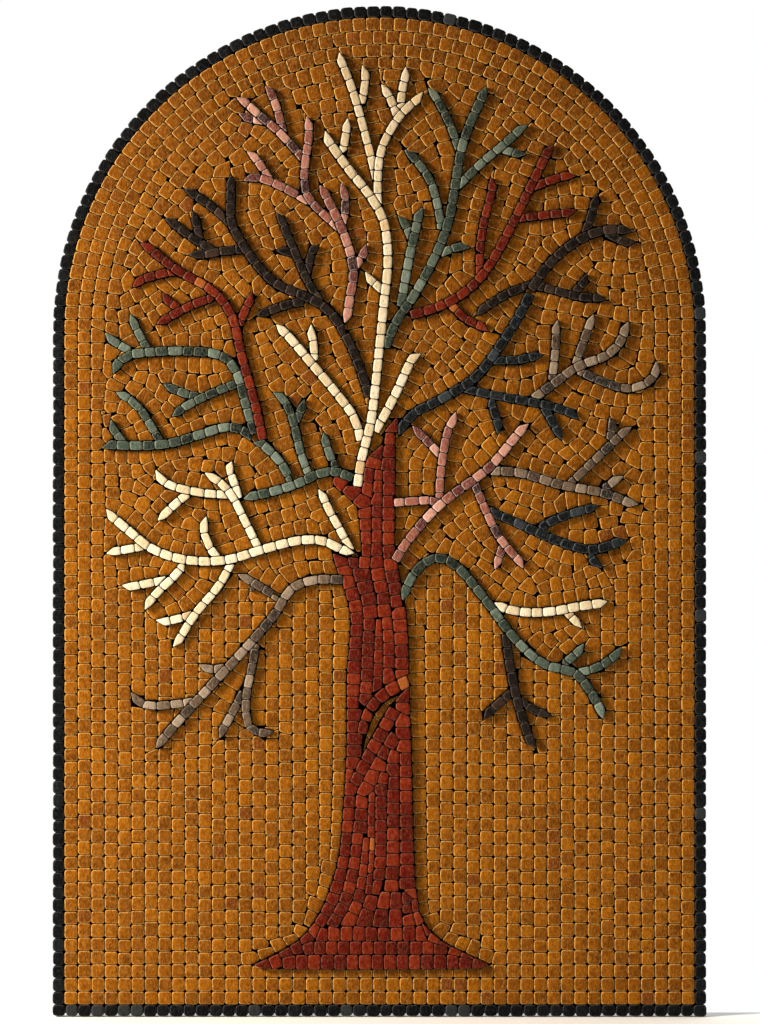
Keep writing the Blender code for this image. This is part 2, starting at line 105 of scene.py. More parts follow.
def on_panel(spot):
    """A spot of the drawing as a place on the panel, across and up."""
    across = (spot[0] - DRAWING_MIDDLE) * SCALE_ACROSS
    return Vector((across, FOOT_LINE + (DRAWING_FOOT - spot[1]) * SCALE_UP))


def smooth_line(spots):
    """A smooth line on the panel through spots of the drawing."""
    points = [on_panel(spot) for spot in spots]
    headings = []
    for place, point in enumerate(points):
        before, after = points[max(place - 1, 0)], points[min(place + 1, len(points) - 1)]
        headings.append((after - before).normalized())
    line = [points[0]]
    for place in range(len(points) - 1):
        start, end = points[place], points[place + 1]
        reach = (end - start).length / 3
        line += geometry.interpolate_bezier(
            start.to_3d(), (start + headings[place] * reach).to_3d(),
            (end - headings[place + 1] * reach).to_3d(), end.to_3d(), BEZIER_STEPS)[1:]
    return [Vector(point[:2]) for point in line]


print(f"one unit of the drawing is {SCALE_ACROSS * 1000:.4f} mm")

# %% [markdown]
# ## The limbs' routes
# Each limb has its own stone. Its first route is the limb itself and the rest are its twigs. The order is
# the order of laying: a later limb is cut where an earlier one already stands.

# %% Draw the limbs
SQUARE = (False, False)
POINTED = (False, True)
TWO_POINTS = (True, True)

# Both ends of a limb's row are cut square (False) or to a point (True). Most rows have one point. Other
# ends are given here by limb and route
ENDS = {
    ("crown_pink_limb", 0): TWO_POINTS, ("left_cream_limb", 0): TWO_POINTS,
    ("crown_green_limb", 0): TWO_POINTS, ("right_green_limb", 0): TWO_POINTS,
    ("right_cream_limb", 0): TWO_POINTS, ("right_pink_limb", 1): SQUARE,
}

# The trunk's outline as smooth stretches that meet at corners, anticlockwise from the right prong
TRUNK_STRETCHES = [
    [(392.5, 422), (386, 430), (382, 443), (368, 458), (362.5, 475), (361.5, 489)],
    [(361.5, 489), (348, 479), (336, 475)],
    [(336, 475), (333, 482), (340, 492), (355, 505), (359, 520), (361.5, 548)],
    [(361.5, 548), (356, 556), (345, 557), (332, 552.5)],
    [(332, 552.5), (336, 567), (345.5, 594), (350.5, 620), (347, 675), (346.5, 750), (343.5, 805),
     (338, 860), (323, 906), (304, 935), (278, 953), (251.5, 965.5)],
    [(251.5, 965.5), (266, 969), (478, 969), (491.5, 965.5)],
    [(491.5, 965.5), (465, 953), (442, 940.5), (425, 923), (417, 895), (413.5, 830), (411.5, 750),
     (409.5, 690), (407, 620), (400, 577), (395, 548)],
    [(395, 548), (395, 430), (392.5, 422)],
]

# The slit in the trunk where its two halves twist apart, as two edges
SLIT_STRETCHES = [
    [(401, 694), (386, 711), (373, 734), (361.5, 757)],
    [(361.5, 757), (368.5, 729), (380, 706), (401, 694)],
]

# Each limb: its stone, its main route from the joined end out, and then its twigs in the same way
LIMBS = {
    "crown_cream_limb": ("cream_marble", [
        [(357.5, 487), (361, 462), (371, 422), (377, 372), (384, 303), (388, 262), (384, 222), (370, 196),
         (349, 170), (322, 132)],
        [(341, 160), (346, 135), (347, 117)],
        [(378, 208), (378, 175), (382, 148), (397, 120), (412, 104), (426, 94)],
        [(398, 119), (390, 98), (380, 84)],
        [(400, 116), (402, 92), (408, 66)],
        [(377, 182), (371, 157), (360, 115), (349, 80), (337, 52)],
        [(359, 110), (365, 88), (365, 64)],
        [(384, 292), (362.5, 273)],
    ]),
    "cream_left_limb": ("cream_marble", [
        [(361, 441), (355, 419), (337, 394), (311, 363), (289, 337), (275, 324)],
        [(314, 366), (314, 345), (308.5, 324)],
    ]),
    "cream_right_limb": ("cream_marble", [
        [(375, 432), (387, 411), (401, 383), (411, 361), (420, 350.5)],
    ]),
    "crown_pink_limb": ("pink_marble", [
        [(346, 325), (349.5, 301), (353.5, 272), (347, 242), (334, 212), (320, 184)],
        [(341, 228), (346, 207), (342, 182)],
        [(353, 270), (361, 259), (368, 244)],
        [(340, 229), (318, 209), (306, 193), (305, 165), (309, 137), (308, 115)],
        [(305, 161), (281, 134), (260, 116), (237, 95)],
        [(284, 137), (277, 108), (267, 84)],
        [(267, 122), (250, 119), (237, 115)],
        [(309, 202), (284, 188), (259, 178), (242, 179)],
        [(271, 182), (259, 163), (248, 149)],
    ]),
    "upper_left_brown_limb": ("brown_marble", [
        [(369, 397), (361, 371), (347, 338), (328, 310), (304, 296), (276, 284), (254, 261), (240, 240),
         (231, 222), (231, 196), (231, 174)],
        [(234, 227), (213, 208), (184, 188)],
        [(249, 249), (222, 251.5), (203, 255), (188, 252.5)],
        [(214, 252), (196, 240), (181, 230), (166, 216)],
        [(200, 242), (197, 225), (192, 210)],
        [(322, 304), (307, 280), (290, 240), (278, 211)],
        [(295, 254), (275, 249)],
        [(305, 277), (310, 262), (313, 250), (322, 244)],
        [(316, 302), (295, 303), (275, 309), (255, 317)],
    ]),
    "left_red_limb": ("red_marble", [
        [(263, 440), (254.5, 401), (241.5, 355), (232, 316), (213, 291), (178, 271), (140.5, 241)],
        [(178, 271), (163, 274), (144, 279), (131, 288)],
        [(219, 297), (200, 302), (175, 314), (156, 326)],
        [(181, 310), (168, 301), (160, 293)],
        [(237, 332), (244, 313), (255, 292)],
    ]),
    "left_green_upper_limb": ("green_marble", [
        [(255, 434), (246, 405), (236, 371), (222, 356), (190, 351.5), (150, 352.5), (125, 357),
         (111, 374)],
        [(134, 353), (120, 345.5), (103, 334)],
        [(149, 352), (138, 332), (130, 313)],
        [(239, 383), (212, 393.5), (185, 407), (171.5, 418)],
        [(203, 398), (185, 394), (162, 384)],
    ]),
    "left_green_lower_limb": ("green_marble", [
        [(353, 478), (334, 471.5), (318, 474), (300, 483), (272, 492), (242, 498.5)],
        [(311, 480), (301, 454), (294, 424), (286, 403), (274, 390)],
        [(294, 425), (300, 412), (307, 399)],
        [(337, 473), (328, 450), (323, 431)],
    ]),
    "left_green_middle_limb": ("green_marble", [
        [(294, 486), (281, 463), (258, 441), (232, 427), (203, 434), (171, 443.5), (140, 446),
         (101, 444.5)],
        [(125, 445), (116, 433), (108, 420)],
        [(162, 445), (150, 424), (136, 404), (115, 391)],
    ]),
    "left_cream_limb": ("cream_marble", [
        [(356, 551.5), (345, 551), (325, 541.5), (303, 540), (265, 549), (225, 560.5), (185, 560),
         (152, 549), (128, 530), (104, 510)],
        [(146, 546), (128, 549.5), (105, 553)],
        [(188, 560), (174, 577), (158, 592), (143, 610)],
        [(168, 580), (145, 584), (131, 587), (121, 584.5)],
        [(233, 560), (219, 586), (195, 614.5), (174, 649)],
        [(194, 614), (177, 619.5), (155, 623.5)],
        [(219, 560), (206, 541), (204, 526), (206, 515)],
        [(260, 551), (245, 521), (231, 494), (217, 480), (203, 474)],
        [(231, 495), (205, 493.5), (169, 485), (153, 471)],
        [(192, 491), (178, 502), (157, 522)],
        [(239, 500), (234, 481), (229.5, 469), (232.5, 458)],
        [(351, 551), (341, 531.5), (328, 508), (319.5, 487.5)],
    ]),
    "left_taupe_limb": ("taupe_marble", [
        [(343, 580), (315, 580), (291, 589), (276, 613), (248, 646), (210, 687), (178, 722), (155, 749)],
        [(284, 602), (262, 588), (237, 573)],
        [(257, 584), (251, 594)],
        [(229, 667), (212, 669.5), (197, 666)],
        [(257, 637), (253, 662), (247, 692), (246, 715), (252, 730), (274.5, 734)],
        [(243.5, 692), (234, 710), (218, 739)],
        [(198, 701), (170, 705), (145, 705), (129, 693)],
    ]),
    "crown_green_limb": ("green_marble", [
        [(384, 352.5), (396, 322), (412, 299), (436, 255), (449, 220), (456, 180), (464, 140), (487, 86)],
        [(460, 152), (447, 118), (429, 86)],
        [(457, 188), (483, 162), (505, 144), (527, 123)],
        [(500, 149), (527, 157)],
        [(442, 238), (439, 212), (429, 178), (405, 148)],
        [(437, 255), (455, 248), (471, 245)],
    ]),
    "crown_green_inner_limb": ("green_marble", [
        [(401, 307), (405, 282), (411, 250), (417, 225), (420, 206)],
        [(412, 240), (400, 213)],
    ]),
    "right_red_limb": ("red_marble", [
        [(410.5, 315.5), (436, 308), (460, 296), (482, 276), (500, 248), (523, 203), (552, 143)],
        [(532, 188), (555, 179), (577, 174)],
        [(515, 219), (540, 216), (578, 212)],
        [(480, 279), (480, 248), (486, 213), (492, 193), (492, 176)],
        [(449, 303), (467, 320), (491, 330)],
    ]),
    "right_brown_limb": ("brown_marble", [
        [(531, 290), (547, 267), (571, 245), (601, 231), (633, 230)],
        [(584, 237), (592, 213), (597, 193)],
        [(604, 232), (621, 241), (637, 245)],
        [(533, 285), (509, 293), (474, 315)],
        [(532, 285), (562, 292.5), (585, 298), (607.5, 297)],
        [(574, 294), (583, 283), (590.5, 275)],
    ]),
    "right_black_limb": ("black_marble", [
        [(530, 294), (518.5, 317), (502, 343), (476, 377), (440, 400), (412, 415), (397, 435.5)],
        [(493, 361), (519, 360), (544, 354)],
        [(464, 389), (496, 396), (530, 402), (558, 408.5), (581, 417.5)],
        [(489, 396), (496, 417), (501, 435)],
        [(542, 404), (551, 420), (563, 441)],
    ]),
    "right_taupe_upper_limb": ("taupe_marble", [
        [(533, 399), (555, 383), (577, 367), (607, 355.5), (621, 341), (627, 320)],
        [(551, 387), (554.5, 360), (556, 333), (554.5, 319)],
        [(574, 369), (583, 343), (594, 313)],
        [(573, 368), (600, 381), (629, 389), (651, 380), (659, 361)],
    ]),
    "right_pink_limb": ("pink_marble", [
        [(395, 561), (407, 542), (440, 505), (489, 468), (513, 440), (528, 422)],
        [(441, 504), (433, 500.5), (394, 503)],
        [(440, 505), (439.5, 488), (443, 455), (449, 428), (459, 412.5)],
        [(441, 456), (423.5, 437.5), (411, 426)],
        [(473, 480), (486, 511), (500, 538.5), (526, 568.5)],
        [(503, 545), (499, 558), (493.5, 570.5)],
    ]),
    "right_taupe_middle_limb": ("taupe_marble", [
        [(489, 471), (520, 473), (560, 485), (603, 493), (639, 507)],
        [(567, 487), (594, 461), (631.5, 425)],
        [(609, 446), (612, 427), (612, 415.5)],
        [(598, 492), (609, 485.5), (623, 473.5)],
    ]),
    "right_black_lower_limb": ("black_marble", [
        [(489, 511), (520, 524.5), (560, 542), (592, 550), (627.5, 539)],
        [(536, 530), (560, 517.5), (599.5, 506)],
        [(585, 549), (600.5, 571)],
    ]),
    "right_green_limb": ("green_marble", [
        [(402.5, 602), (411, 578), (431, 559), (452, 562.5), (484, 598), (515, 639), (544, 664.5),
         (575, 673), (593, 696), (605, 719.5)],
        [(558, 668), (572, 657.5), (586, 644)],
        [(577, 673), (599, 667), (624, 648.5)],
    ]),
    "right_cream_limb": ("cream_marble", [
        [(492, 603), (513, 611), (545, 612.5), (580, 606.5), (609, 602.5)],
        [(564, 609), (574, 620), (584, 628)],
    ]),
    "right_brown_lower_limb": ("brown_marble", [
        [(506, 634), (509, 660), (517, 700), (526, 729), (534, 751)],
        [(513, 691), (497, 705), (481, 719)],
        [(518, 699), (535, 711), (553, 716)],
    ]),
}


def outline_of(stretches):
    """A closed outline from smooth stretches that meet at corners, as plain pairs."""
    outline = []
    for spots in stretches:
        outline += smooth_line(spots)[:-1]
    return [tuple(point) for point in outline]


TRUNK_OUTLINE = outline_of(TRUNK_STRETCHES)
print(f"{len(LIMBS)} limbs, {sum(len(routes) for _, routes in LIMBS.values())} routes")


# %% [markdown]
# ## Cutting one stone to fit another
# A mosaic maker nips a stone until it fits. Here a stone's face is a convex outline, and every nip is one
# straight cut: the part beyond a line falls away. To fit a stone against one that already lies there, each
# side of that neighbour is tried as the cut, and the one that wastes least is taken. This keeps every
# outline convex, so it never overlaps and never folds. Solid Booleans could do it too, but a few thousand
# of them would take hours.

# %% Nip a convex outline
MIN_SIDE = 0.0002
SMALLEST_STONE = 0.000014


def edges_of(outline):
    """The edges of a closed outline, each as its two ends."""
    return zip(outline, outline[1:] + outline[:1])


def area_of(outline):
    """The area inside an outline, positive where it runs anticlockwise."""
    return sum(a[0] * b[1] - b[0] * a[1] for a, b in edges_of(outline)) / 2


def anticlockwise(outline):
    """The same outline, turned round where it runs clockwise."""
    return outline if area_of(outline) > 0 else outline[::-1]


def is_real(outline, least=SMALLEST_STONE):
    """Whether an outline is still big enough to be a stone."""
    return len(outline) > 2 and area_of(outline) > least


def long_sided(outline, least):
    """An outline without the corners that end a very short side."""
    befores = outline[-1:] + outline[:-1]
    return [point for point, before in zip(outline, befores) if math.dist(point, before) > least]


def middle_of(outline):
    """The centre of the area inside an outline."""
    double = across = up = 0.0
    x0, y0 = outline[0]
    for (ax, ay), (bx, by) in edges_of(outline):
        cross = (ax - x0) * (by - y0) - (bx - x0) * (ay - y0)
        double += cross
        across += (ax + bx - 2 * x0) * cross
        up += (ay + by - 2 * y0) * cross
    return (x0 + across / (3 * double), y0 + up / (3 * double))


def nip(outline, nx, ny, reach):
    """Keeps the part of a convex outline that reaches no further than a line across (nx, ny)."""
    kept = []
    px, py = outline[-1]
    before = px * nx + py * ny - reach
    for x, y in outline:
        now = x * nx + y * ny - reach
        if (before < 0) != (now < 0):
            share = before / (before - now)
            kept.append((px + (x - px) * share, py + (y - py) * share))
        if now < 0:
            kept.append((x, y))
        px, py, before = x, y, now
    return kept


def sides_of(outline, gap=0.0):
    """Each side of an anticlockwise outline as its outward direction and how far out it lies, with a gap."""
    sides = []
    for (ax, ay), (bx, by) in edges_of(outline):
        length = math.hypot(bx - ax, by - ay)
        if length > MIN_SIDE:
            nx, ny = (by - ay) / length, (ax - bx) / length
            sides.append((nx, ny, nx * ax + ny * ay + gap))
    return sides


def fit_against(outline, sides):
    """Nips an outline clear of a neighbour, at the side of the neighbour that wastes least."""
    for nx, ny, reach in sides:
        if all(x * nx + y * ny >= reach for x, y in outline):
            return outline
    best, best_area = [], 0.0
    for nx, ny, reach in sides:
        part = nip(outline, -nx, -ny, -reach)
        if is_real(part, best_area):
            best, best_area = part, area_of(part)
    return best


half_square = nip([(0, 0), (1, 0), (1, 1), (0, 1)], 1, 0, 0.5)
print("a square nipped at its middle:", len(half_square), "corners left")

# %% [markdown]
# ## The limbs, stone by stone
# A limb is one row of stones about 12 mm long, cut straight across its curve. The hand shows in cuts that
# lean a little and lengths that vary. The last stone is cut to a point. Twigs are laid after their limb
# and fitted against it.

# %% Cut a route into a row of stones
LIMB_STONE = 0.0122
TIP_LENGTH = 0.0085
TIP_ROOM = 0.4
TIP_SLANT = 0.45
CUT_LEAN = math.radians(7)
LENGTH_SPREAD = 0.0013
hand = random.Random(11)


def turned(direction, angle):
    """A direction turned by an angle."""
    return Vector((direction.x * math.cos(angle) - direction.y * math.sin(angle),
                   direction.x * math.sin(angle) + direction.y * math.cos(angle)))


def marks_along(line):
    """How far along a line each of its points lies."""
    return np.concatenate([[0.0], np.cumsum([(b - a).length for a, b in zip(line, line[1:])])])


def along(line, marks, distance):
    """The place and the heading at a distance along a line."""
    place = int(np.clip(np.searchsorted(marks, distance) - 1, 0, len(line) - 2))
    start, end = line[place], line[place + 1]
    share = (distance - marks[place]) / max(marks[place + 1] - marks[place], MIN_SIDE)
    return start.lerp(end, share), (end - start).normalized()


def wavering(low, high, count, spread, unit=1.0):
    """Even cuts from one end to the other, with each inner one a little off."""
    cuts = [low + (high - low) * step / count for step in range(count + 1)]
    return cuts[:1] + [cut + hand.uniform(-spread, spread) * unit for cut in cuts[1:-1]] + cuts[-1:]


def row_of_stones(spots, ends, width):
    """The outlines of one row of stones along a route, before they are fitted."""
    line = smooth_line(spots)
    marks = marks_along(line)
    total = marks[-1]
    start, end = TIP_LENGTH * TIP_ROOM * ends[0], total - TIP_LENGTH * TIP_ROOM * ends[1]
    count = max(round((end - start) / LIMB_STONE), 1)
    cuts = wavering(start, end, count, LENGTH_SPREAD)
    cuts[0], cuts[-1] = 0.0, total
    pairs = []
    for number, cut in enumerate(cuts):
        point, heading = along(line, marks, cut)
        if (number == 0 and ends[0]) or (number == count and ends[1]):
            side = turned(heading, math.pi / 2) * width * hand.uniform(-TIP_SLANT, TIP_SLANT)
            pairs.append((point + side, point + side))
        else:
            lean = hand.uniform(-CUT_LEAN, CUT_LEAN) if 0 < number < count else 0.0
            side = turned(heading, math.pi / 2 + lean) * (width / 2)
            pairs.append((point + side, point - side))
    stones = []
    for number, ((left_a, right_a), (left_b, right_b)) in enumerate(zip(pairs, pairs[1:])):
        outline = [right_a, right_b, left_b, left_a]
        if number == count - 1 and ends[1]:
            shoulder, heading = along(line, marks, max(total - TIP_LENGTH, cuts[number] + MIN_SIDE))
            side = turned(heading, math.pi / 2) * (width / 2)
            outline = [right_a, shoulder - side, right_b, shoulder + side, left_a]
        if number == 0 and ends[0]:
            shoulder, heading = along(line, marks, min(TIP_LENGTH, cuts[1] - MIN_SIDE))
            side = turned(heading, math.pi / 2) * (width / 2)
            outline = [right_a, shoulder - side, right_b, left_b, shoulder + side]
        stones.append([tuple(point) for point in outline])
    return stones


# %% Lay the limbs
LIMB_WIDTH = 0.0087
TWIG_WIDTH = 0.0080
NEIGHBOUR_REACH = 3 * LIMB_STONE
limb_stones = {}
laid = []
for name, (stone, routes) in LIMBS.items():
    limb_stones[name] = []
    for number, spots in enumerate(routes):
        fresh = []
        width = LIMB_WIDTH if number == 0 else TWIG_WIDTH
        for outline in row_of_stones(spots, ENDS.get((name, number), POINTED), width):
            for sides, centre in laid:
                if outline and math.dist(centre, outline[0]) < NEIGHBOUR_REACH:
                    outline = fit_against(outline, sides)
            if is_real(outline):
                fresh.append(outline)
        limb_stones[name] += fresh
        laid += [(sides_of(outline), middle_of(outline)) for outline in fresh]
print("limb stones:", sum(len(stones) for stones in limb_stones.values()))

# %% [markdown]
# ## Laying stones in courses
# The trunk and the field are laid in courses: lines of stones that follow a shape. A stone starts as a
# square turned along its course, a little larger than its share of the room. Where two squares meet,
# both are cut on one straight line between them, square to their courses, so the joints stay even. This
# is a Voronoi diagram with squares for circles.

# %% Cut a bed of stones out of their places
CELL_GROWTH = 1.24
CORNER_SHARE = 0.74


def square_at(point, turn, half, growth=1.0):
    """The corners of a turned rectangle, from half its length and half its width."""
    x, y = point
    ux, uy = math.cos(turn) * half[0] * growth, math.sin(turn) * half[0] * growth
    vx, vy = -math.sin(turn) * half[1] * growth, math.cos(turn) * half[1] * growth
    return [(x - ux - vx, y - uy - vy), (x + ux - vx, y + uy - vy),
            (x + ux + vx, y + uy + vy), (x - ux + vx, y - uy + vy)]


def half_along(nx, ny, turn, half):
    """Half of what a turned stone measures in a direction."""
    c, s = math.cos(turn), math.sin(turn)
    return abs(nx * c + ny * s) * half[0] + abs(ny * c - nx * s) * half[1]


def shared_cut(dx, dy, turn_a, turn_b):
    """The direction of the cut between two stones, square to their courses, or slanted at a corner."""
    turn = math.atan2(math.sin(4 * turn_a) + math.sin(4 * turn_b),
                      math.cos(4 * turn_a) + math.cos(4 * turn_b)) / 4
    c, s = math.cos(turn), math.sin(turn)
    u, v = dx * c + dy * s, dy * c - dx * s
    if min(abs(u), abs(v)) > CORNER_SHARE * max(abs(u), abs(v)):
        length = math.hypot(dx, dy)
        return dx / length, dy / length
    if abs(u) > abs(v):
        return (c, s) if u > 0 else (-c, -s)
    return (-s, c) if v > 0 else (s, -c)


def cut_bed(bed, count, growth=CELL_GROWTH):
    """The outlines of a bed's first stones, cut against every stone near them. A stone of the bed is its
    place, its turn and its half sizes."""
    tree = kdtree.KDTree(len(bed))
    for number, ((x, y), _, _) in enumerate(bed):
        tree.insert((x, y, 0), number)
    tree.balance()
    reach = 2 * growth * max(max(half) for _, _, half in bed) * math.sqrt(2)
    outlines = []
    for number, ((x, y), turn, half) in enumerate(bed[:count]):
        outline = square_at((x, y), turn, half, growth)
        for _, other, _ in tree.find_range((x, y, 0), reach):
            if other == number or len(outline) < 3:
                continue
            (other_x, other_y), other_turn, other_half = bed[other]
            dx, dy = other_x - x, other_y - y
            nx, ny = shared_cut(dx, dy, turn, other_turn)
            mine, theirs = half_along(nx, ny, turn, half), half_along(nx, ny, other_turn, other_half)
            outline = nip(outline, nx, ny, x * nx + y * ny + (dx * nx + dy * ny) * mine / (mine + theirs))
        outlines.append(outline if len(outline) > 2 else [])
    return outlines


print("a stone may grow to", CELL_GROWTH, "times its share")

# %% [markdown]
# ## The trunk's courses
# The trunk is laid like a stream: five courses come down from the fork, the right one laps over the
# middle in a twist, and below it they part again and fan out into the roots. Each course is a route with
# its width, in units of the drawing.

# %% Lay the trunk
TRUNK_STONE = 12.4
TRUNK_COURSES = [
    (12, [(389.5, 427), (389, 470), (389.5, 548), (393.5, 573), (399, 604), (402, 644), (403, 676)]),
    (12, [(380, 438), (374.5, 461), (369.5, 477), (368, 489)]),
    (10, [(378, 474), (377, 511), (376.5, 545), (378.5, 571), (383, 594), (386, 620), (388.5, 645),
          (389, 674)]),
    (12, [(340, 482), (352, 491), (363, 502)]),
    (12, [(366, 513), (365.5, 544), (362, 571), (364, 586), (369, 600), (370, 625), (367.5, 650),
          (366, 678), (364, 700)]),
    (13, [(355, 561)]),
    (12, [(342, 560), (347, 580), (352, 594), (355.5, 611), (356.5, 640), (355.5, 675), (354, 705),
          (352.5, 740), (351, 762), (350, 775)]),
    (8, [(378.5, 630), (378.5, 660), (377.5, 684)]),
    (11, [(391.5, 742), (383, 753), (379, 766), (373.5, 778.5), (367, 790)]),
    (12, [(405.5, 697), (405, 740), (406, 795), (407, 850), (408.5, 884)]),
    (12, [(394, 757), (393.5, 795), (393, 850), (391, 886)]),
    (12, [(383.5, 778), (381, 800), (380.5, 850), (377.5, 886)]),
    (12, [(349.5, 790), (345.5, 840), (340, 875), (331, 904), (314, 931), (291, 949), (263, 961)]),
    (12, [(362.5, 803), (358, 840), (352.5, 875), (344, 903), (334, 920)]),
    (7, [(372, 797), (371.5, 850), (369, 890)]),
    (10, [(366.5, 846), (363, 876), (357, 903), (350, 918)]),
    (12, [(372, 902), (366, 918)]),
    (12, [(384, 900), (381, 918)]),
    (12, [(396, 900), (396, 918)]),
    (12, [(413, 893), (418, 915), (432, 934), (452, 948), (480, 960)]),
    (12, [(408, 899), (409, 918)]),
    (13, [(322, 934.5), (422, 934.5)]),
    (13, [(308, 948), (440, 948)]),
    (13, [(290, 961.5), (465, 961.5)]),
]
TWIST = [
    (12.5, [(409, 681), (396, 687), (386, 693), (378, 700), (371, 709), (366.5, 720), (363, 734)]),
    (13, [(395, 709), (388, 722), (381, 734.5), (373.5, 747.5), (366.5, 760), (360, 772), (353.5, 784)]),
]
TRUNK_TRIES = 4
TRUNK_GROWTH = 1.5
TRUNK_WAVER = 0.07


def is_inside(point, outline):
    """Whether a point lies inside a closed outline of any shape."""
    inside = False
    x, y = point
    for (ax, ay), (bx, by) in edges_of(outline):
        if (ay > y) != (by > y) and x < ax + (y - ay) * (bx - ax) / (by - ay):
            inside = not inside
    return inside


def edge_gap(point, a, b):
    """How far a point lies from an edge."""
    dx, dy = b[0] - a[0], b[1] - a[1]
    share = ((point[0] - a[0]) * dx + (point[1] - a[1]) * dy) / (dx * dx + dy * dy)
    share = min(max(share, 0.0), 1.0)
    return math.hypot(a[0] + dx * share - point[0], a[1] + dy * share - point[1])


def kept_inside(outline, border):
    """Nips a stone's outline where its corners stand outside a closed border."""
    for _ in range(TRUNK_TRIES):
        worst_gap, worst_edge = MIN_SIDE, None
        for point in outline:
            if not is_inside(point, border):
                edge = min(edges_of(border), key=lambda e: edge_gap(point, *e))
                if edge_gap(point, *edge) > worst_gap:
                    worst_gap, worst_edge = edge_gap(point, *edge), edge
        if worst_edge is None:
            return outline
        outline = nip(outline, *sides_of(list(worst_edge))[0])
        if len(outline) < 3:
            return []
    return outline


def course_places(width, spots, pitch):
    """The places, turns and half sizes of the stones along one course of the drawing."""
    half_width = width * SCALE_ACROSS / 2
    if len(spots) == 1:
        return [(tuple(on_panel(spots[0])), math.pi / 2, (pitch * SCALE_UP / 2, half_width))]
    line = smooth_line(spots)
    marks = marks_along(line)
    count = max(round(marks[-1] / (pitch * SCALE_UP)), 1)
    found = []
    for step in range(count + 1):
        shift = hand.uniform(-TRUNK_WAVER, TRUNK_WAVER) if 0 < step < count else 0.0
        point, heading = along(line, marks, marks[-1] * (step + shift) / count)
        found.append((tuple(point), math.atan2(heading.y, heading.x), (marks[-1] / count / 2, half_width)))
    return found


def slit_pieces(count):
    """The slit under the twist, cut across into a few four-sided outlines."""
    first, second = ([tuple(point) for point in smooth_line(spots)] for spots in SLIT_STRETCHES)
    second = second[::-1]
    found = []
    for step in range(count):
        low, high = (round(share * (len(first) - 1) / count) for share in (step, step + 1))
        outline = [first[low], first[high], second[high], second[low]]
        found.append(anticlockwise(long_sided(outline, MIN_SIDE)))
    return found


def middles_of(outlines):
    """The middles of many outlines, as an array."""
    return np.array([middle_of(outline) for outline in outlines])


def nipped(outline, others, middles):
    """Cuts an outline against each of these others whose middle is near its own."""
    if outline:
        x, y = middle_of(outline)
        for number in np.flatnonzero(np.hypot(middles[:, 0] - x, middles[:, 1] - y) < NEIGHBOUR_REACH):
            outline = fit_against(outline, sides_of(others[number]))
    return outline


# %% Lay the twist first, then the courses round it
SLIT_CUTS = 8
slit_cuts = slit_pieces(SLIT_CUTS)
limb_list = [outline for limb in limb_stones.values() for outline in limb]
twist_stones = []
for width, spots in TWIST:
    for outline in row_of_stones(spots, SQUARE, width * SCALE_ACROSS):
        hard = slit_cuts + twist_stones
        outline = nipped(kept_inside(outline, TRUNK_OUTLINE), hard, middles_of(hard))
        if is_real(outline):
            twist_stones.append(outline)
trunk_bed = [found for width, spots in TRUNK_COURSES for found in course_places(width, spots, TRUNK_STONE)]
solid_parts = limb_list + slit_cuts + twist_stones
solid_middles = middles_of(solid_parts)
trunk_stones, trunk_squares = [], []
for (_, turn, half), outline in zip(trunk_bed, cut_bed(trunk_bed, len(trunk_bed))):
    outline = nipped(kept_inside(outline, TRUNK_OUTLINE), solid_parts, solid_middles)
    if is_real(outline):
        trunk_stones.append(outline)
        trunk_squares.append((turn, (half[0] * TRUNK_GROWTH, half[1] * TRUNK_GROWTH)))
trunk_middles = middles_of(trunk_stones)
for number, (turn, half) in enumerate(trunk_squares):
    grown = square_at(middle_of(trunk_stones[number]), turn, half)
    rest = trunk_stones[:number] + trunk_stones[number + 1:]
    grown = nipped(grown, rest, np.delete(trunk_middles, number, axis=0))
    grown = kept_inside(nipped(grown, solid_parts, solid_middles), TRUNK_OUTLINE)
    if is_real(grown, area_of(trunk_stones[number])):
        trunk_stones[number] = grown
trunk_stones += twist_stones
print("trunk stones:", len(trunk_stones), "of them in the twist:", len(twist_stones))

# %% [markdown]
# ## The black border and the first courses
# The border is one row of black stones, 12.3 mm apart, round the arch, down both sides and along the
# foot. Inside it the field starts with courses that keep the same curve. Lower down they are plain
# upright columns, and each column drifts a little, because every stone is cut by hand.

# %% Lay the border
BORDER_PITCH = 0.0123
BORDER_WOBBLE = 0.0005
BORDER_WAVER = 0.05


def border_stretch(low, high, pitch, corner):
    """One stretch of the border. corner(place, out) is a point along it, so far out from the field."""
    cuts = wavering(low, high, round((high - low) / pitch), BORDER_WAVER, pitch)
    stones = []
    for start, end in zip(cuts, cuts[1:]):
        rim = BORDER_WIDTH - hand.uniform(0.0, BORDER_WOBBLE)
        corners = [(start, 0.0), (start, rim), (end, rim), (end, 0.0)]
        stones.append(anticlockwise([corner(place, out) for place, out in corners]))
    return stones


def on_arch(angle, out):
    """A point of the border round the arch."""
    return ((FIELD_HALF + out) * math.cos(angle), ARCH_CENTRE + (FIELD_HALF + out) * math.sin(angle))


border_stones = border_stretch(0.0, math.pi, BORDER_PITCH / PANEL_HALF, on_arch)
border_stones += border_stretch(FIELD_FOOT, ARCH_CENTRE, BORDER_PITCH, lambda z, out: (FIELD_HALF + out, z))
border_stones += border_stretch(FIELD_FOOT, ARCH_CENTRE, BORDER_PITCH, lambda z, out: (-FIELD_HALF - out, z))
border_stones += border_stretch(-PANEL_HALF, PANEL_HALF, BORDER_PITCH, lambda x, out: (x, FIELD_FOOT - out))
print("border stones:", len(border_stones))

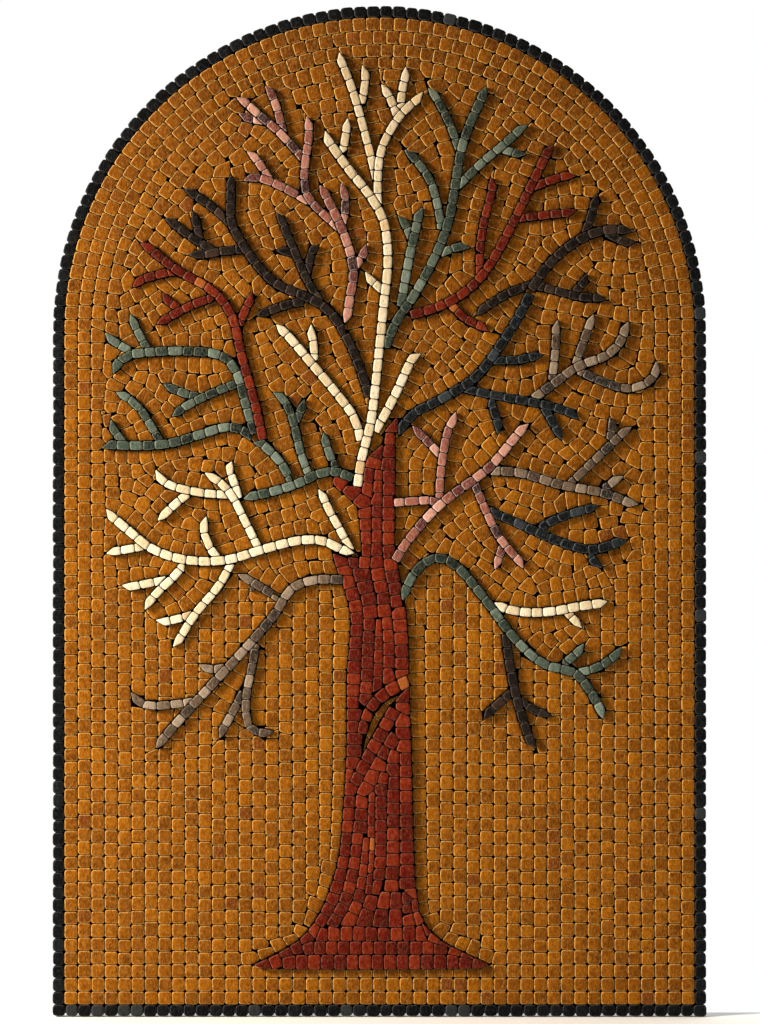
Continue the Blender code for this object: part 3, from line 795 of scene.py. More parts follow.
# %% Mark where the field stands in plain columns
FIELD_PITCH = 2 * FIELD_HALF / 47
RING_COURSES = 3
COLUMN_ZONES = [
    [(40, 540), (103, 575), (121, 588), (143, 608), (174, 649), (196, 616), (222, 584), (240, 574),
     (284, 602), (291, 589), (315, 581), (350, 580), (350, 1010), (40, 1010)],
    [(350, 1010), (350, 960), (390, 960), (402, 602), (411, 578), (431, 560), (452, 563), (484, 598),
     (515, 639), (544, 664), (575, 673), (585, 640), (584, 625), (590, 606), (612, 600), (625, 556),
     (720, 540), (720, 1010)],
]
POCKET = [(252, 650), (243, 692), (232, 712), (214, 714), (202, 700), (229, 668)]
zones = [[tuple(on_panel(spot)) for spot in zone] for zone in COLUMN_ZONES]
pocket = [tuple(on_panel(spot)) for spot in POCKET]


def in_columns(point):
    """Whether the field stands in plain columns there."""
    return not is_inside(point, pocket) and any(is_inside(point, zone) for zone in zones)


def trunk_gap(point):
    """How far a point lies from the trunk's outline."""
    return min(edge_gap(point, a, b) for a, b in edges_of(TRUNK_OUTLINE))


print("zones of columns:", len(zones))

# %% Lay the rings and the columns
RING_WAVER = 0.07
COLUMN_STEP = 0.11
COLUMN_PULL = 0.97
COLUMN_WAVER = 0.03
COLUMN_LEAN = 0.02
STEADY_ROWS = 3
TRUNK_SIDE = 0.16
TRUNK_ROOM = 0.95
fixed_places, fixed_turns = [], []
for ring in range(RING_COURSES):
    radius = FIELD_HALF - (ring + 0.5) * FIELD_PITCH
    count = round(math.pi * radius / FIELD_PITCH)
    for step in range(count):
        angle = math.pi * (step + 0.5 + hand.uniform(-RING_WAVER, RING_WAVER)) / count
        fixed_places.append((radius * math.cos(angle), ARCH_CENTRE + radius * math.sin(angle)))
        fixed_turns.append(angle)
columns = round(2 * FIELD_HALF / FIELD_PITCH)
rows = int((ARCH_CENTRE - FIELD_FOOT) / FIELD_PITCH)
for column in range(columns):
    across = -FIELD_HALF + (column + 0.5) * FIELD_PITCH
    outer = column < RING_COURSES or column >= columns - RING_COURSES
    drift = 0.0
    for row in range(rows):
        if row >= STEADY_ROWS:
            drift = (drift + hand.uniform(-COLUMN_STEP, COLUMN_STEP)) * COLUMN_PULL
        lift = (row + 0.5 + drift) * FIELD_PITCH * (ARCH_CENTRE - FIELD_FOOT) / (rows * FIELD_PITCH)
        point = (across + hand.uniform(-COLUMN_WAVER, COLUMN_WAVER) * FIELD_PITCH, FIELD_FOOT + lift)
        beside_trunk = abs(point[0]) < TRUNK_SIDE and FOOT_LINE < point[1] < 0.0
        if not (outer or in_columns(point)) or is_inside(point, TRUNK_OUTLINE):
            continue
        if beside_trunk and trunk_gap(point) < TRUNK_ROOM * FIELD_PITCH:
            continue
        fixed_places.append(point)
        fixed_turns.append(hand.uniform(-COLUMN_LEAN, COLUMN_LEAN))
print("stones in rings and columns:", len(fixed_places))

# %% [markdown]
# ## Filling the crown
# Between the limbs the courses follow the nearest limb, as a mosaic maker lays them. Each place gets a
# direction from all the limbs round it, the near ones counting most. Stones are first set half a stone
# from the limbs, then a course further, until the room is full. Then everything is shaken down a few
# times: each stone moves to the middle of its room.

# %% Give the courses' direction at any place
NEAR_LIMB = 0.002
NEAR_RIM = 0.004
EDGE_PULL = 2.0
tree_stones = limb_list + trunk_stones
limb_edges = []
for stone, routes in LIMBS.values():
    for spots in routes:
        line = smooth_line(spots)
        limb_edges += [(tuple(a), tuple(b)) for a, b in zip(line[::2], line[2::2] + [line[-1]])]
limb_edges = [(a, b) for a, b in limb_edges + list(edges_of(TRUNK_OUTLINE)) if math.dist(a, b) > MIN_SIDE]
edge_from = np.array([a for a, b in limb_edges])
edge_to = np.array([b for a, b in limb_edges])


def headings_at(points):
    """The direction of the courses at each point, from the limbs and the edge."""
    points = np.asarray(points, float).reshape(-1, 2)
    run = edge_to - edge_from
    offset = points[:, None, :] - edge_from[None, :, :]
    share = np.clip((offset * run).sum(2) / (run * run).sum(1), 0, 1)
    gaps = np.linalg.norm(offset - share[:, :, None] * run, axis=2)
    weight = np.linalg.norm(run, axis=1) / (gaps + NEAR_LIMB) ** 3
    angle = 4 * np.arctan2(run[:, 1], run[:, 0])
    across, up = (weight * np.cos(angle)).sum(1), (weight * np.sin(angle)).sum(1)
    rise = np.maximum(points[:, 1] - ARCH_CENTRE, 0.0)
    radius = np.hypot(points[:, 0], rise)
    rim_gap = np.maximum(FIELD_HALF - RING_COURSES * FIELD_PITCH - radius, 0.0) + NEAR_RIM
    rim_angle = 4 * np.arctan2(rise, np.abs(points[:, 0])) * np.sign(points[:, 0])
    rim_weight = EDGE_PULL / rim_gap ** 2
    return np.arctan2(up + rim_weight * np.sin(rim_angle), across + rim_weight * np.cos(rim_angle)) / 4


print("edges that the courses follow:", len(limb_edges))

# %% Measure the room with a grid of points
GRID = 0.0017
ROOM_REACH = 0.4
ROOM_SHARE = 0.42
WALL_REACH = 0.06
wide = np.arange(-FIELD_HALF, FIELD_HALF, GRID)
tall = np.arange(FIELD_FOOT, ARCH_CENTRE + FIELD_HALF, GRID)
grid_x, grid_y = np.meshgrid(wide, tall)
open_gap = np.full(grid_x.shape, 1.0)
for (ax, ay), (bx, by) in (edge for outline in tree_stones for edge in edges_of(outline)):
    if math.hypot(bx - ax, by - ay) <= MIN_SIDE:
        continue
    low_i = max(int((min(ax, bx) - WALL_REACH - wide[0]) / GRID), 0)
    high_i = int((max(ax, bx) + WALL_REACH - wide[0]) / GRID) + 1
    low_j = max(int((min(ay, by) - WALL_REACH - tall[0]) / GRID), 0)
    high_j = int((max(ay, by) + WALL_REACH - tall[0]) / GRID) + 1
    part_x, part_y = grid_x[low_j:high_j, low_i:high_i], grid_y[low_j:high_j, low_i:high_i]
    dx, dy = bx - ax, by - ay
    share = np.clip(((part_x - ax) * dx + (part_y - ay) * dy) / (dx * dx + dy * dy), 0, 1)
    part = np.hypot(ax + dx * share - part_x, ay + dy * share - part_y)
    open_gap[low_j:high_j, low_i:high_i] = np.minimum(open_gap[low_j:high_j, low_i:high_i], part)


def covered_by(outlines, wide, tall):
    """Which points of a grid lie under any of these convex outlines."""
    under = np.zeros((len(tall), len(wide)), bool)
    step = wide[1] - wide[0]
    for outline in outlines:
        if not outline:
            continue
        xs, ys = zip(*outline)
        low_i, high_i = max(int((min(xs) - wide[0]) / step), 0), int((max(xs) - wide[0]) / step) + 2
        low_j, high_j = max(int((min(ys) - tall[0]) / step), 0), int((max(ys) - tall[0]) / step) + 2
        part_x, part_y = wide[None, low_i:high_i], tall[low_j:high_j, None]
        inside = np.ones((part_y.shape[0], part_x.shape[1]), bool)
        for nx, ny, reach in sides_of(outline):
            inside &= part_x * nx + part_y * ny < reach
        under[low_j:high_j, low_i:high_i] |= inside
    return under


def open_ground(wide, tall):
    """Which points of a grid are field, outside the tree and inside the border."""
    across, up = wide[None, :], tall[:, None]
    in_trunk = np.zeros((len(tall), len(wide)), bool)
    for (ax, ay), (bx, by) in edges_of(TRUNK_OUTLINE):
        if ay != by:
            in_trunk ^= ((ay > up) != (by > up)) & (across < ax + (up - ay) * (bx - ax) / (by - ay))
    inside = np.hypot(across, np.maximum(up - ARCH_CENTRE, 0.0)) < FIELD_HALF
    return inside & ~in_trunk & ~covered_by(tree_stones, wide, tall)


def whole_bed(free):
    """Every field stone's place, turn and half sizes, with the free ones first."""
    turns = list(headings_at(free)) + fixed_turns if free else fixed_turns
    return [(place, turn, (FIELD_PITCH / 2,) * 2) for place, turn in zip(list(free) + fixed_places, turns)]


def roomy(mask):
    """The points of a mask round which most of a stone's square is free too."""
    reach = round(ROOM_REACH * FIELD_PITCH / GRID)
    total = np.pad(mask.astype(float), ((reach + 1, reach), (reach + 1, reach))).cumsum(0).cumsum(1)
    size = 2 * reach + 1
    inside = total[size:, size:] - total[:-size, size:] - total[size:, :-size] + total[:-size, :-size]
    return mask & (inside > ROOM_SHARE * size * size)


ring_reach = FIELD_HALF - RING_COURSES * FIELD_PITCH
rim_gaps = ring_reach - np.hypot(grid_x, np.maximum(grid_y - ARCH_CENTRE, 0.0))
fixed_outlines = cut_bed(whole_bed([]), len(fixed_places))
room = roomy(open_ground(wide, tall) & ~covered_by(fixed_outlines, wide, tall))
print(f"room for about {room.sum() * GRID * GRID / FIELD_PITCH ** 2:.0f} more stones")

# %% Set the first stones half a stone from the limbs, then course by course
SEED_SPACING = 0.9
SEED_COURSES = 8
SEED_BANDS = (0.18, 0.34)
course_gap = np.minimum(open_gap, np.where(rim_gaps > 0, rim_gaps, 1.0))
free_places = []
spots_left = np.stack([grid_x[room], grid_y[room]], axis=1)
gap_left = course_gap[room]
turn_left = np.concatenate([headings_at(part) for part in np.array_split(spots_left, 40)])
taken = np.zeros(len(spots_left), bool)
for course in range(SEED_COURSES):
    for band in SEED_BANDS:
        level = (np.abs(gap_left / FIELD_PITCH - course - 0.5) < band) & ~taken
        last = spots_left[level][0] if level.any() else None
        while level.any():
            chosen = np.flatnonzero(level)
            nearest = chosen[np.argmin(((spots_left[chosen] - last) ** 2).sum(1))]
            last = spots_left[nearest]
            free_places.append(tuple(last))
            offset = spots_left - last
            c, s = math.cos(turn_left[nearest]), math.sin(turn_left[nearest])
            u, v = offset[:, 0] * c + offset[:, 1] * s, offset[:, 1] * c - offset[:, 0] * s
            near = (np.abs(u) < SEED_SPACING * FIELD_PITCH) & (np.abs(v) < SEED_SPACING * FIELD_PITCH)
            taken |= near
            level &= ~near
print("first stones in the crown:", len(free_places))

# %% Fit a field stone, and keep places from crowding
CROWDED = 0.64
FIT_REACH = 0.021
tree_sides = [sides_of(outline) for outline in tree_stones]


def stone_tree(stones):
    """A search tree of the middles of stones."""
    tree = kdtree.KDTree(len(stones))
    for number, outline in enumerate(stones):
        tree.insert((*middle_of(outline), 0), number)
    tree.balance()
    return tree


def fitted(outline, point):
    """Nips a field stone against the tree and the border."""
    for _, number, _ in limb_tree.find_range((*point, 0), FIT_REACH):
        outline = fit_against(outline, tree_sides[number])
    if not outline:
        return []
    x, y = point
    if y > ARCH_CENTRE:
        radius = math.hypot(x, y - ARCH_CENTRE)
        nx, ny = x / radius, (y - ARCH_CENTRE) / radius
        return nip(outline, nx, ny, FIELD_HALF + ny * ARCH_CENTRE)
    outline = nip(outline, math.copysign(1.0, x), 0.0, FIELD_HALF)
    return nip(outline, 0.0, -1.0, -FIELD_FOOT)


def uncrowded(free):
    """The free places with none too near a fixed one or an earlier free one."""
    kept = []
    cell = CROWDED * FIELD_PITCH
    taken_cells = {}
    for place in fixed_places + list(free):
        i, j = math.floor(place[0] / cell), math.floor(place[1] / cell)
        around = [(i + di, j + dj) for di in (-1, 0, 1) for dj in (-1, 0, 1)]
        near = [other for key in around for other in taken_cells.get(key, [])]
        if len(kept) < len(fixed_places) or all(math.dist(place, other) > cell for other in near):
            taken_cells.setdefault((i, j), []).append(place)
            kept.append(place)
    return kept[len(fixed_places):]


print("first stones that aren't crowded:", len(uncrowded(free_places)))

# %% Shake the stones down
SHAKES = 14
PACE = 0.7
LEAST_FIELD_STONE = 0.26 * FIELD_PITCH ** 2
FREE_GROWTH = 1.5
REFILL_EVERY = 3
REFILL_REACH = 0.5
REFILL_LEAST = 0.16
limb_tree = stone_tree(tree_stones)
free_places = uncrowded(free_places)
for shake in range(SHAKES):
    moved, fresh = [], []
    for point, outline in zip(free_places, cut_bed(whole_bed(free_places), len(free_places), FREE_GROWTH)):
        outline = fitted(outline, point)
        if is_real(outline, LEAST_FIELD_STONE):
            middle = middle_of(outline)
            moved.append((point[0] + PACE * (middle[0] - point[0]), point[1] + PACE * (middle[1] - point[1])))
            fresh.append(outline)
    if shake % REFILL_EVERY == REFILL_EVERY - 1 and shake < SHAKES - 1:
        bare = room & ~covered_by(fresh, wide, tall)
        gap_points = np.stack([grid_x[bare], grid_y[bare]], axis=1)
        while len(gap_points):
            offset = gap_points - gap_points[len(gap_points) // 2]
            near = np.hypot(offset[:, 0], offset[:, 1]) < FIELD_PITCH * REFILL_REACH
            if near.sum() * GRID * GRID > REFILL_LEAST * FIELD_PITCH ** 2:
                moved.append(tuple(gap_points[near].mean(axis=0)))
            gap_points = gap_points[~near]
    free_places = uncrowded(moved)
print("stones in the crown:", len(free_places))

# %% Cut the field's stones
LAST_CUTS = 4
for _ in range(LAST_CUTS):
    bed = whole_bed(free_places)
    outlines = [fitted(outline, stone[0]) for outline, stone in zip(cut_bed(bed, len(bed), FREE_GROWTH), bed)]
    good = [is_real(outline, LEAST_FIELD_STONE) for outline in outlines]
    field_stones = list(compress(outlines, good))
    field_turns = [turn for _, turn, _ in compress(bed, good)]
    free_places = list(compress(free_places, good))
    if all(good):
        break
print("field stones:", len(field_stones), "left out:", good.count(False))

# %% [markdown]
# ## Snug stones, and slips in the last gaps
# Straight cuts between squares leave small holes where three stones meet. So each stone is cut once more
# from a larger square, this time against its neighbours as they really are, and grows into the room
# beside it. Where even that leaves a gap, most often beside a limb, the mosaic maker nips a slip to the
# shape of the gap and taps it in.

# %% Let each stone grow, then fill the gaps with slips
GROWN = 1.34
NEAR_STONES = 0.024
FINE_GRID = 0.0009
SLIP_LEAST = 0.04
SLIP_REACH = 0.6
SLIP_GROWTH = 1.3
SLIP_ROUNDS = 2
SMALLEST_SLIP = 0.000006


def snug(outline, point, tree, skip=None):
    """Cuts an outline against the field stones, the tree and the border round it."""
    for _, number, _ in tree.find_range((*point, 0), NEAR_STONES):
        if number != skip and outline:
            outline = fit_against(outline, sides_of(field_stones[number]))
    return fitted(outline, point)


near_tree = stone_tree(field_stones)
half = GROWN * FIELD_PITCH / 2
for number, outline in enumerate(field_stones):
    middle = middle_of(outline)
    grown = snug(square_at(middle, field_turns[number], (half, half)), middle, near_tree, number)
    if is_real(grown, area_of(outline)):
        field_stones[number] = grown
fine_wide = np.arange(-FIELD_HALF, FIELD_HALF, FINE_GRID)
fine_tall = np.arange(FIELD_FOOT, ARCH_CENTRE + FIELD_HALF, FINE_GRID)
ground = open_ground(fine_wide, fine_tall)
whole = len(field_stones)
for _ in range(SLIP_ROUNDS):
    rows_left, columns_left = np.nonzero(ground & ~covered_by(field_stones, fine_wide, fine_tall))
    gap_points = np.stack([fine_wide[columns_left], fine_tall[rows_left]], axis=1)
    while len(gap_points):
        offset = gap_points - gap_points[0]
        near = np.hypot(offset[:, 0], offset[:, 1]) < SLIP_REACH * FIELD_PITCH
        if near.sum() * FINE_GRID ** 2 > SLIP_LEAST * FIELD_PITCH ** 2:
            blob = gap_points[near]
            spread, axes = np.linalg.eigh(np.cov((blob - blob.mean(axis=0)).T))
            half_v, half_u = SLIP_GROWTH * np.sqrt(3 * np.maximum(spread, FINE_GRID ** 2 / 4))
            middle = tuple(blob[np.argmin(((blob - blob.mean(axis=0)) ** 2).sum(1))])
            slip = square_at(middle, math.atan2(axes[1, 1], axes[0, 1]), (half_u, half_v))
            slip = snug(slip, middle, stone_tree(field_stones))
            if is_real(slip, SMALLEST_SLIP):
                field_stones.append(slip)
        gap_points = gap_points[~near]
bare = ground & ~covered_by(field_stones, fine_wide, fine_tall)
print("slips:", len(field_stones) - whole, f"bare: {100 * bare.sum() / ground.sum():.1f} %")

# %% [markdown]
# ## From an outline to a tumbled stone
# A tumbled stone has no sharp corner left: its upright edges and its top rim are worn round, and its face
# is a little crowned. Each outline becomes a face, its corners are bevelled by a share of their sides, so
# that a small stone is worn as a large one is, the face is pulled down into a block, and two insets raise
# the worn rim and the crown. All stones of one piece go through each operator together, which is fast,
# and a number that each face carries tells afterwards whose stone it is.

# %% Carve the stones of one piece
JOINT = 0.0008
CORNER_WEAR = 16.0
BORDER_WEAR = 24.0
RIM_WIDTH = 0.0005
RIM_DROP = 0.00055
# how much painted highlight the inner ring of the worn rim keeps
RIM_HIGHLIGHT_INSIDE = 0.15
CROWN_WIDTH = 0.0012
CROWN_RISE = 0.00014
NEXT_RING = 0.00001
WIDEST_RING = 0.3
TILT = 0.020
SINK = 0.00045
SHORT_SIDE = 0.0006
STONE_REACH = 0.0062
SHARP_ANGLE = math.radians(50)
# painted shade: stones above this height are darkened more the higher they sit
TOP_SHADE_START = -0.05


def shrunk(outline, gap):
    """An outline moved inwards all round, by half a joint."""
    inner = outline
    for nx, ny, reach in sides_of(outline, -gap):
        inner = nip(inner, nx, ny, reach)
        if len(inner) < 3:
            return []
    return inner


def new_piece(name, shell):
    """A scene object from a finished bmesh."""
    mesh = bpy.data.meshes.new(name)
    shell.to_mesh(mesh)
    shell.free()
    piece = bpy.data.objects.new(name, mesh)
    bpy.context.scene.collection.objects.link(piece)
    return piece


def carve(name, outlines, back, front, seed, corner_wear=CORNER_WEAR):
    """One mesh of worn stones, with each stone's tone, seed, rim for the painted highlight, height for the
    painted top shade and place as attributes.
    """
    shell = bmesh.new()
    number_of = shell.faces.layers.int.new("number")
    centres, inner_radii = [], []
    for outline in outlines:
        corners = long_sided(shrunk(outline, JOINT / 2), SHORT_SIDE)
        if not is_real(corners, SMALLEST_STONE / 2):
            continue
        face = shell.faces.new([shell.verts.new((x, front + RIM_DROP + CROWN_RISE, z)) for x, z in corners])
        face[number_of] = len(centres)
        centres.append(middle_of(corners))
        inner_radii.append(2 * area_of(corners) / sum(math.dist(a, b) for a, b in edges_of(corners)))
    bmesh.ops.bevel(shell, geom=shell.verts[:], offset=corner_wear, offset_type="PERCENT", segments=2,
                    profile=0.5, affect="VERTICES", material=-1)
    tops = shell.faces[:]
    grown = bmesh.ops.extrude_face_region(shell, geom=tops)
    raised = [item for item in grown["geom"] if isinstance(item, bmesh.types.BMFace)]
    for corner in {corner for face in tops for corner in face.verts}:
        corner.co.y = back
    bmesh.ops.recalc_face_normals(shell, faces=shell.faces)
    ring_of = shell.verts.layers.int.new("ring")
    for ring in (1, 2):
        bmesh.ops.inset_individual(shell, faces=raised, thickness=NEXT_RING, depth=0.0)
        for face in raised:
            for corner in face.verts:
                corner[ring_of] = ring
    piece = new_piece(name, shell)
    chance = np.random.default_rng(seed)
    finish_stones(piece.data, np.array(centres), np.array(inner_radii), back, front, chance)
    return piece


def values_of(items, label, kind, width=1):
    """One value, or a few, from every item of a mesh."""
    values = np.zeros(len(items) * width, kind)
    items.foreach_get(label, values)
    return values


def finish_stones(mesh, centres, inner_radii, back, front, chance):
    """Tilts and sinks each stone a little, and notes its tone, seed, rim for the painted highlight, height
    for the painted top shade and own coordinates.
    """
    count = len(centres)
    stone_of_face = values_of(mesh.attributes["number"].data, "value", np.int32)
    loop_vertex = values_of(mesh.loops, "vertex_index", np.int32)
    stone_of_loop = np.repeat(stone_of_face, values_of(mesh.polygons, "loop_total", np.int32))
    stone_of_vertex = np.zeros(len(mesh.vertices), np.int32)
    stone_of_vertex[loop_vertex] = stone_of_loop
    spots = values_of(mesh.vertices, "co", float, 3).reshape(-1, 3)
    ring = values_of(mesh.attributes["ring"].data, "value", np.int32)
    middles = centres[stone_of_vertex]
    inwards = np.array([0.0, RIM_WIDTH, RIM_WIDTH + CROWN_WIDTH])[ring] / inner_radii[stone_of_vertex]
    offset = (spots[:, [0, 2]] - middles) * (1 - np.minimum(inwards, WIDEST_RING * (ring + 1)))[:, None]
    spots[:, [0, 2]] = middles + offset
    spots[:, 1] -= np.array([0.0, RIM_DROP, RIM_DROP + CROWN_RISE])[ring]
    tilt = chance.uniform(-TILT, TILT, (count, 2))[stone_of_vertex]
    sink = chance.uniform(0.0, SINK, count)[stone_of_vertex]
    lean = np.abs(tilt).sum(axis=1) * STONE_REACH
    in_front = spots[:, 1] < (back + front) / 2
    # the worn rim, which gets a painted highlight
    rim_highlight_mask = np.where(in_front, np.array([1.0, RIM_HIGHLIGHT_INSIDE, 0.0])[ring], 1.0)
    spots[:, 1] += np.where(in_front, sink + lean + (tilt * offset).sum(axis=1), 0.0)
    spots[:, 1] = np.where(in_front, np.maximum(spots[:, 1], front), spots[:, 1])
    mesh.vertices.foreach_set("co", spots.ravel())
    mesh.attributes.remove(mesh.attributes["number"])
    mesh.attributes.remove(mesh.attributes["ring"])
    own = mesh.uv_layers.new(name="own")
    spin = chance.uniform(0, 2 * math.pi, count)[stone_of_loop]
    flat = offset[loop_vertex] / (2 * STONE_REACH)
    turned_uv = np.stack([flat[:, 0] * np.cos(spin) - flat[:, 1] * np.sin(spin),
                          flat[:, 0] * np.sin(spin) + flat[:, 1] * np.cos(spin)], axis=1)
    own.data.foreach_set("uv", turned_uv.astype(np.float32).ravel())
    # painted shade: each stone's height on the panel, for darkening towards the top
    painted_top_shade = np.clip((centres[:, 1] - TOP_SHADE_START) / (PANEL_HIGH.z - TOP_SHADE_START), 0.0, 1.0)
    for label in ("tone", "seed", "odd", "painted_top_shade"):
        values = painted_top_shade if label == "painted_top_shade" else chance.uniform(0.0, 1.0, count)
        layer = mesh.attributes.new(label, "FLOAT", "FACE")
        layer.data.foreach_set("value", values[stone_of_face].astype(np.float32))
    layer = mesh.attributes.new("rim_highlight", "FLOAT", "POINT")
    layer.data.foreach_set("value", rim_highlight_mask.astype(np.float32))
    mesh.shade_smooth()
    mesh.set_sharp_from_angle(angle=SHARP_ANGLE)


# %% Carve every piece
SLIT_STONES = 4
FIELD_PARTS = 8
pieces = {}
for number, (name, outlines) in enumerate(limb_stones.items()):
    pieces[name] = [carve(name + "_stones", outlines, RECESS_FLOOR, TREE_FRONT, 100 + number)]
pieces["trunk"] = [carve("trunk_stones", trunk_stones, RECESS_FLOOR, TREE_FRONT, 90)]
pieces["border_row"] = [carve("border_stones", border_stones, BED_FRONT, FIELD_FRONT, 91, BORDER_WEAR)]
field_stones += [outline for outline in slit_pieces(SLIT_STONES) if len(outline) > 2]
field_stones.sort(key=lambda outline: middle_of(outline)[1])
share = math.ceil(len(field_stones) / FIELD_PARTS)
pieces["ochre_field"] = [
    carve(f"field_stones_{part + 1}", field_stones[part * share:(part + 1) * share], BED_FRONT, FIELD_FRONT,
          200 + part) for part in range(FIELD_PARTS)]
print("pieces:", sum(len(group) for group in pieces.values()))

# %% [markdown]
# ## The bed and its mesh
# Between the stones shows only dark adhesive, deep in the joints. The back is what the panel is glued on:
# a glass-fibre mesh of 5 mm squares, pressed into the adhesive.

# %% Make the bed
MESH_PITCH = 0.005
STRAND_WIDTH = 0.0011
STRAND_DEPTH = 0.0004
STRAND_SINK = 0.1
BED_INSET = 0.0022
BED_OVERLAP = 0.00002
ARCH_STEPS = 90


def box_between(shell, low, high):
    """A plain block between two corners."""
    made = bmesh.ops.create_cube(shell, size=1.0)
    for corner in made["verts"]:
        for axis, (a, b) in enumerate(zip(low, high)):
            corner.co[axis] = (a + b) / 2 + corner.co[axis] * (b - a)


shell = bmesh.new()
half = PANEL_HALF - BED_INSET
rim = [(-half, PANEL_FOOT + BED_INSET), (half, PANEL_FOOT + BED_INSET)]
for step in range(ARCH_STEPS + 1):
    angle = math.pi * step / ARCH_STEPS
    rim.append((half * math.cos(angle), ARCH_CENTRE + half * math.sin(angle)))
face = shell.faces.new([shell.verts.new((x, -STRAND_DEPTH, z)) for x, z in rim])
grown = bmesh.ops.extrude_face_region(shell, geom=[face])
fronts = [item for item in grown["geom"] if isinstance(item, bmesh.types.BMVert)]
bmesh.ops.translate(shell, vec=(0, BED_FRONT + STRAND_DEPTH + BED_OVERLAP, 0), verts=fronts)
bmesh.ops.recalc_face_normals(shell, faces=shell.faces)
bed = new_piece("adhesive_bed", shell)

shell = bmesh.new()
for step in range(1, int(2 * half / MESH_PITCH)):
    x = -half + step * MESH_PITCH
    top = ARCH_CENTRE + math.sqrt(max(half * half - x * x, 0.0)) - STRAND_WIDTH
    box_between(shell, (x - STRAND_WIDTH / 2, -STRAND_DEPTH, PANEL_FOOT + BED_INSET),
                (x + STRAND_WIDTH / 2, -STRAND_DEPTH * STRAND_SINK, top))
for step in range(1, int((ARCH_CENTRE + half - PANEL_FOOT) / MESH_PITCH)):
    z = PANEL_FOOT + BED_INSET + step * MESH_PITCH
    side = math.sqrt(max(half * half - max(z - ARCH_CENTRE, 0.0) ** 2, 0.0)) - STRAND_WIDTH
    if side > MESH_PITCH:
        box_between(shell, (-side, -STRAND_DEPTH, z - STRAND_WIDTH / 2), (side, 0.0, z + STRAND_WIDTH / 2))
bmesh.ops.recalc_face_normals(shell, faces=shell.faces)
strands = new_piece("fibre_mesh", shell)
pieces["backing_bed"] = [bed, strands]
print("strands of the mesh:", len(strands.data.polygons) // 6)

# %% [markdown]
# ## Tumbled marble
# Marble is calcite, stained by iron to ochre and red or by carbon to black. Tumbling leaves a honed, satin
# face, a paler worn rim, faint slanting grain, and now and then a small swirl or dot. Here the pale rim is
# also a painted highlight, as if the worn edge caught the light. No two stones have quite the same tone.
# Every stone uses one recipe of nodes with its own colours. The grain is worked out in millimetres on the
# panel and shifted by each stone's seed, so it never runs on from one stone to the next.

# %% Helpers for materials
CALCITE_IOR = 1.49
TIMES = {"operation": "MULTIPLY", "use_clamp": True}


def linear(hex_colour):
    """An sRGB hex colour as linear light, with full alpha."""
    channels = [int(hex_colour[place:place + 2], 16) / 255 for place in (0, 2, 4)]
    return (*(c / 12.92 if c <= 0.04045 else ((c + 0.055) / 1.055) ** 2.4 for c in channels), 1.0)


def add_node(tree, kind, inputs, output=0, **settings):
    """Adds a node with its settings and a value or a link for each input, and returns one output."""
    node = tree.nodes.new("ShaderNode" + kind)
    for name, value in settings.items():
        setattr(node, name, value)
    for key, value in inputs.items():
        if isinstance(value, bpy.types.NodeSocket):
            tree.links.new(value, node.inputs[key])
        else:
            node.inputs[key].default_value = value
    return node.outputs[output] if node.outputs else node


def new_material(name, roughness, shine):
    """A material with its node tree and its shader."""
    material = bpy.data.materials.new(name)
    material.use_nodes = True
    shader = material.node_tree.nodes["Principled BSDF"]
    shader.inputs["Roughness"].default_value = roughness
    shader.inputs["IOR"].default_value = CALCITE_IOR
    shader.inputs["Specular IOR Level"].default_value = shine
    return material, material.node_tree, shader


print("ochre in linear light:", [round(c, 3) for c in linear("7B4205")])

# %% [markdown]
# ## The marble recipe
# The colour is built up in layers, most of them as the stone was. First comes its tone: part of it belongs
# to the stone as a whole, part to clouds about 5 mm wide, and over it a painted shade that darkens the
# stones more the higher they sit on the panel. Then the grain, whose crystals are really 0.3 to 1 mm and are
# drawn at 1 mm, so that they show from two steps away. It slants, because each strip of marble was sawn
# across its bed. Last comes the rim: a pale line on each stone's worn edge, a painted highlight together
# with bruises from the tumbler, broken up by the grain, and now and then a pale eye. Past the rim the side of
# a stone is darkened: painted shade on the sides, with adhesive stain in the joints.

# %% Give the marble recipe
GRAIN_MM = 1.0
CLOUD_MM = 4.5
STONE_SHINE = 0.05
STONE_SHIFT = 3.0
GRAIN_SLANT = math.radians(38)
GRAIN_STRETCH = 0.35
STIR_SCALE = 420.0
STIR_SHARE = 0.2
TONE_STOPS = (0.08, 0.5, 0.95)
# painted shade for the stones' sides and the joints, with adhesive stain
SIDE_SHADE_AND_STAIN = linear("050302")
PIT_STAIN = linear("8A6C42")
# the rim's painted highlight is broken up over this range of the grain
RIM_HIGHLIGHT_BREAKUP = (0.34, 0.60)
# painted shade that darkens the stones towards the top of the panel
TOP_SHADE_COLOUR = linear("A58E70")
TOP_SHADE_STRENGTH = 0.6
EYE_PLACE = (0.05, 0.04, 0.0)


